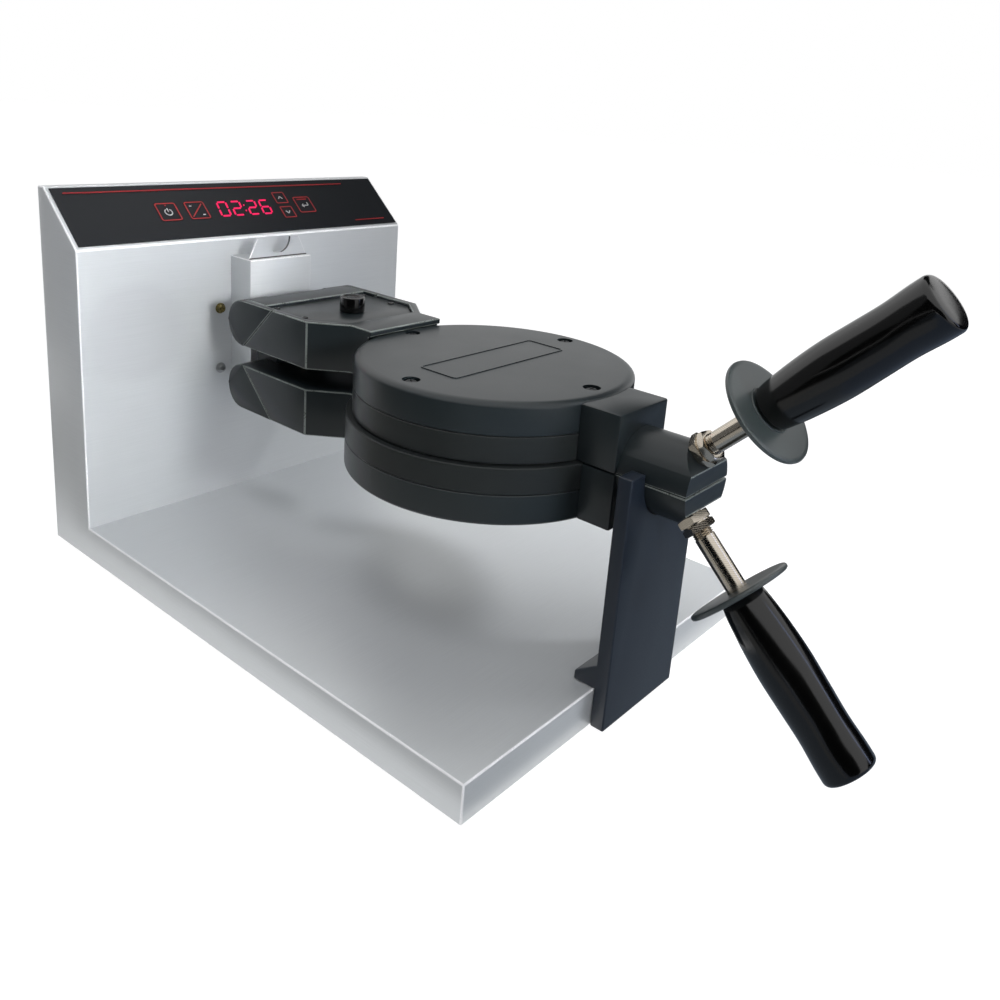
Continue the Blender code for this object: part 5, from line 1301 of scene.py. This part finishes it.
    def grip(self) -> None:
        """The moulded grip: a slim neck, a full belly and a rounded end."""
        start = self.guard_reach + self.guard_thickness + self.room
        length = self.grip_end - self.guard_reach
        first, last = self.grip_foot, self.grip_profile[-1][0]
        rings = []
        for i in range(self.grip_rings + 1):
            share = first + (last - first) * i / self.grip_rings
            radius = self.curve(self.grip_profile, share)
            rings.append((radius, self.guard_reach + length * share))
        width, drop = self.grip_dome
        top = self.grip_end - drop
        cap = ellipse_rim(rings[-1][0], top, width, top - rings[-1][1], 6)[1:]
        crown = [(radius, self.grip_end - down) for radius, down in self.grip_crown]
        mouth, lip, rise = self.grip_mouth
        grip = Workpiece.disc(f"{self.name}_moulded_grip", mouth, start, 96)
        grip.grow([(lip, start + rise)] + rings + cap + crown)
        self.bore(grip, start, self.guard_reach + 0.0603)
        self.finish(grip.place(self.handle), Finishes.BAKELITE, "grip", 50)

    def bore(self, piece: Workpiece, start: float, end: float) -> None:
        """Cut the rod's hole into a piece on the handle's axis, between two heights."""
        radius = self.rod_radius + self.room
        cutter = Workpiece.disc("cutter", radius, start - 0.001, 48)
        piece.combine(cutter.grow([(radius, end)]), "DIFFERENCE")

    @staticmethod
    def curve(knots: tuple, share: float) -> float:
        """Return a smooth value between knots at a share of the length."""
        for i in range(len(knots) - 1):
            (a, va), (b, vb) = knots[i], knots[i + 1]
            if share <= b or i == len(knots) - 2:
                before = knots[max(i - 1, 0)]
                after = knots[min(i + 2, len(knots) - 1)]
                ta = (vb - before[1]) / (b - before[0]) * (b - a)
                tb = (after[1] - va) / (after[0] - a) * (b - a)
                t = (share - a) / (b - a)
                return (
                    (2 * t**3 - 3 * t**2 + 1) * va
                    + (t**3 - 2 * t**2 + t) * ta
                    + (3 * t**2 - 2 * t**3) * vb
                    + (t**3 - t**2) * tb
                )
        return knots[-1][1]

    def arm(self) -> None:
        """The hollow arm with its lid, caps and lid screws."""
        lid = f"{self.name}_arm_lid"
        self.casting("arm_casting", "arm", self.block_edge, 0.006)
        rounded_node(
            f"{self.name}_arm_cover", lid, self.body, Finishes.CAST_COATED, self.lid_edge, 0.008
        )
        for hand in ("left", "right"):
            self.casting(f"{hand}_hinge_cap", f"{hand}_cap", self.lid_edge, 0.004)
        low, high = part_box(lid)
        top = self.span("arm_lid")[1]
        inset = self.lid_screw_inset
        places = [
            Matrix.Translation((x, y, top))
            for y in (high.y - inset, low.y + self.lid_screw_front)
            for x in (low.x + inset, high.x - inset)
        ]
        screws = self.lid_screw.build(f"{lid}_screws").copies(places)
        screws.place(self.plain).dress(Finishes.BAKELITE, self.body)

    def stud(self) -> None:
        """The black stud on the arm's lid, with a sharp bright rim and a dished top."""
        low, high = self.span("stud")
        r = self.radius("stud")
        foot = self.span("arm_lid")[1] + self.room
        stud = Workpiece.disc(f"{self.name}_arm_stud", self.stud_stem, low, 64)
        soft = self.stud_soft
        rings = [(self.stud_stem, foot), (r - soft, foot + HAIR), (r, foot + soft)]
        stud.grow(rings + [(r - inset, high - drop) for inset, drop in self.stud_rim])
        place = self.plain @ Matrix.Translation((0, middle(f"{self.name}_stud").y, 0))
        self.finish(stud.place(place), Finishes.BAKELITE, "stud", 35)


@dataclass
class CradlePost:
    """The painted post whose cradle carries the head's collar."""

    edge: float = 0.0011
    shortest_edge: float = 0.005

    def build(self) -> None:
        """Make the post."""
        rounded_node(
            "painted_post", "post", "base", Finishes.POST_PAINT, self.edge, self.shortest_edge, 3
        )


# studio


def bare_material(name: str) -> tuple[bpy.types.Material, Tree]:
    """Return a new material with an empty node tree."""
    made = bpy.data.materials.new(name)
    made.use_nodes = True
    made.node_tree.nodes.clear()
    return made, made.node_tree


def new_plane(name: str, size: float) -> bpy.types.Object:
    """Add a square plane at the origin."""
    bpy.ops.object.select_all(action="DESELECT")
    bpy.ops.mesh.primitive_plane_add(size=size, location=(0, 0, 0))
    plane = bpy.context.object
    plane.name = name
    return plane


@dataclass
class Studio:
    """Pale floor, soft light, cards that only reflections see, and the photograph's camera."""

    floor_size: float = 14.0
    camera_place: Point = (-0.46055, FRONT_Y - 0.2522, 0.367)
    azimuth: float = math.radians(50.931)
    elevation: float = math.radians(15.589)
    roll: float = math.radians(4.361)
    lens: float = 34.08
    shift_y: float = -0.14735
    ambient: float = 0.28
    floor_lift: float = 0.93
    shadow_grey: str = "959595"

    def build(self) -> None:
        """Set the whole studio."""
        self.world()
        self.floor()
        self.lamps()
        self.cards()
        self.camera()
        bpy.context.scene.view_settings.view_transform = "Standard"

    @staticmethod
    def seen(tree: Tree) -> Socket:
        """Return 1 for rays that look at the background: camera, glossy and transmission."""
        path = add_node(tree, "ShaderNodeLightPath").outputs
        both = {0: path["Is Camera Ray"], 1: path["Is Glossy Ray"]}
        first = add_node(tree, "ShaderNodeMath", both, operation="MAXIMUM")
        both = {0: first.outputs[0], 1: path["Is Transmission Ray"]}
        return add_node(tree, "ShaderNodeMath", both, operation="MAXIMUM").outputs[0]

    def world(self) -> None:
        """White to look at, and a plain even light on the object."""
        world = bpy.data.worlds.new("white studio")
        bpy.context.scene.world = world
        world.use_nodes = True
        tree = world.node_tree
        tree.nodes.clear()
        even = {"Color": linear("fbfcff"), "Strength": self.ambient}
        light = add_node(tree, "ShaderNodeBackground", even).outputs[0]
        plain = {"Color": linear("ffffff"), "Strength": 1.0}
        white = add_node(tree, "ShaderNodeBackground", plain).outputs[0]
        both = {0: self.seen(tree), 1: light, 2: white}
        mixed = add_node(tree, "ShaderNodeMixShader", both).outputs[0]
        add_node(tree, "ShaderNodeOutputWorld", {"Surface": mixed})

    def floor(self) -> None:
        """A pale floor that fades into the white background and keeps the shadow."""
        floor = new_plane("studio_floor", self.floor_size)
        made, tree = bare_material("white studio paper")
        paper = add_node(tree, "ShaderNodeBsdfDiffuse", {"Color": linear("ececec")})
        shadow = add_node(tree, "ShaderNodeBsdfDiffuse", {"Color": linear(self.shadow_grey)})
        glow = add_node(tree, "ShaderNodeEmission", {"Strength": self.floor_lift})
        white = add_node(tree, "ShaderNodeAddShader", {0: shadow.outputs[0], 1: glow.outputs[0]})
        both = {0: self.seen(tree), 1: paper.outputs[0], 2: white.outputs[0]}
        mixed = add_node(tree, "ShaderNodeMixShader", both).outputs[0]
        add_node(tree, "ShaderNodeOutputMaterial", {"Surface": mixed})
        floor.data.materials.append(made)

    def lamp(
        self, name: str, place: Point, aim: Point, size: float, level: float, spread: float = 180.0
    ) -> None:
        """Add a square soft box that reflections don't see.

        Args:
            name: its name.
            place: where it hangs.
            aim: what it looks at.
            size: its width.
            level: its brightness as a surface, where 1 is white.
            spread: how wide it shines, in degrees; a grid in front of it makes this less.
        """
        light = bpy.data.lights.new(name, "AREA")
        light.size = size
        light.energy = level * math.pi * size**2
        light.color = linear("fafbff")[:3]
        light.spread = math.radians(spread)
        lamp = bpy.data.objects.new(name, light)
        bpy.context.scene.collection.objects.link(lamp)
        lamp.location = place
        lamp.rotation_euler = (Vector(aim) - Vector(place)).to_track_quat("-Z", "Y").to_euler()
        lamp.visible_glossy = False

    def lamps(self) -> None:
        """Gridded boxes on the tower's wall and the tray, plain boxes left and right."""
        self.lamp("wall_box", (-0.22, -0.95, 0.45), (-0.12, 0.13, 0.20), 0.25, 1.27, 20.0)
        self.lamp("tray_box", (-0.42, -0.10, 1.00), (-0.12, 0.04, 0.02), 0.60, 0.34, 34.0)
        self.lamp("far_tray_box", (0.60, -0.50, 0.80), (0.12, 0.0, 0.05), 0.30, 0.80, 20.0)
        self.lamp("left_box", (-0.50, -0.60, 0.25), (0.0, 0.10, 0.12), 0.4, 1.6)
        self.lamp("right_low_box", (0.90, -0.90, 0.25), (0.0, -0.10, 0.12), 0.5, 6.0)
        self.lamp("right_box", (1.30, -0.30, 0.60), (0.0, 0.10, 0.12), 0.8, 2.2)

    def card(
        self, name: str, place: Point, aim: Point, size: tuple, grey: str, level: float = 1.0
    ) -> None:
        """Stand a card that only reflections see, as photographers do beside shiny things."""
        card = new_plane(name, 1.0)
        turn = (Vector(aim) - Vector(place)).to_track_quat("Z", "Y").to_matrix().to_4x4()
        card.data.transform(Matrix.Translation(place) @ turn @ Matrix.Diagonal((*size, 1, 1)))
        made, tree = bare_material(f"{name} felt")
        felt = add_node(tree, "ShaderNodeEmission", {"Color": linear(grey), "Strength": level})
        add_node(tree, "ShaderNodeOutputMaterial", {"Surface": felt.outputs[0]})
        card.data.materials.append(made)
        for ray in ("camera", "diffuse", "transmission", "volume_scatter", "shadow"):
            setattr(card, f"visible_{ray}", False)

    def floor_card(self, name: str, x: float, y: float, size: tuple, grey: str) -> None:
        """Lay a card on the floor that only reflections see."""
        self.card(name, (x, y, 0.001), (x, y, 1.0), size, grey)

    def cards(self) -> None:
        """Dark felt beside and in front of the machine, grey and pale cards at the back."""
        self.card("camera_side_felt", (-1.25, -1.1, 0.35), (0, 0, 0.2), (2.0, 1.4), "0b0c0d")
        self.card("right_front_felt", (1.0, -0.95, 0.15), (0, -0.1, 0.15), (1.8, 0.9), "0b0d11")
        self.card("tower_side_card", (-0.62, 0.75, 0.05), (0, 0.75, 0.05), (1.2, 1.6), "6c6d6e")
        self.card("left_side_felt", (-1.7, 0.15, 0.6), (0, 0.15, 0.3), (1.6, 1.2), "0b0c0d")
        self.floor_card("near_floor_card", 0.3, -0.24, (2.8, 0.18), "858f9a")
        self.floor_card("front_floor_card", 0.3, -0.61, (2.8, 0.56), "7d8ba0")
        self.floor_card("far_floor_card", 0.3, -1.65, (2.8, 1.5), "adb0b6")
        self.floor_card("right_floor_felt", 0.85, -0.05, (1.2, 0.5), "0b0c0d")
        self.floor_card("left_floor_card", -0.33, 0.1, (0.3, 1.0), "a6a6a4")
        self.floor_card("left_floor_felt", -1.05, 0.5, (1.14, 1.7), "0b0c0d")
        self.card("back_right_card", (1.25, 1.0, 0.40), (0, 0, 0.1), (1.9, 1.1), "e2e3e3")
        self.card("panel_sky_felt", (1.12, 0.0, 1.23), (0, 0.28, 0.27), (1.2, 0.85), "1c1e20")
        self.card("right_strip", (0.62, -1.15, 0.62), (0, -0.3, 0.1), (0.10, 0.9), "b9c6ea", 3.5)

    def camera(self) -> None:
        """Stand where the photographer stood."""
        data = bpy.data.cameras.new("photo_camera")
        data.lens = self.lens
        data.sensor_width = 36.0
        data.shift_y = self.shift_y
        data.clip_start = 0.01
        camera = bpy.data.objects.new("photo_camera", data)
        bpy.context.scene.collection.objects.link(camera)
        a, e = self.azimuth, self.elevation
        ahead = Vector((math.sin(a) * math.cos(e), math.cos(a) * math.cos(e), -math.sin(e)))
        right = Vector((math.cos(a), -math.sin(a), 0))
        up = right.cross(ahead)
        c, s = math.cos(self.roll), math.sin(self.roll)
        axes = Matrix((c * right + s * up, c * up - s * right, -ahead)).transposed().to_4x4()
        camera.matrix_world = Matrix.Translation(self.camera_place) @ axes
        bpy.context.scene.camera = camera


def main() -> None:
    """Build the machine and its studio in order."""
    logging.basicConfig(level=logging.INFO, format="%(name)s %(message)s")
    SteelBody().build()
    ControlPanel().build()
    BearingFront().build()
    CradlePost().build()
    for half in Half:
        BakingHalf(half).build()
    Studio().build()


if __name__ == "__main__":
    main()
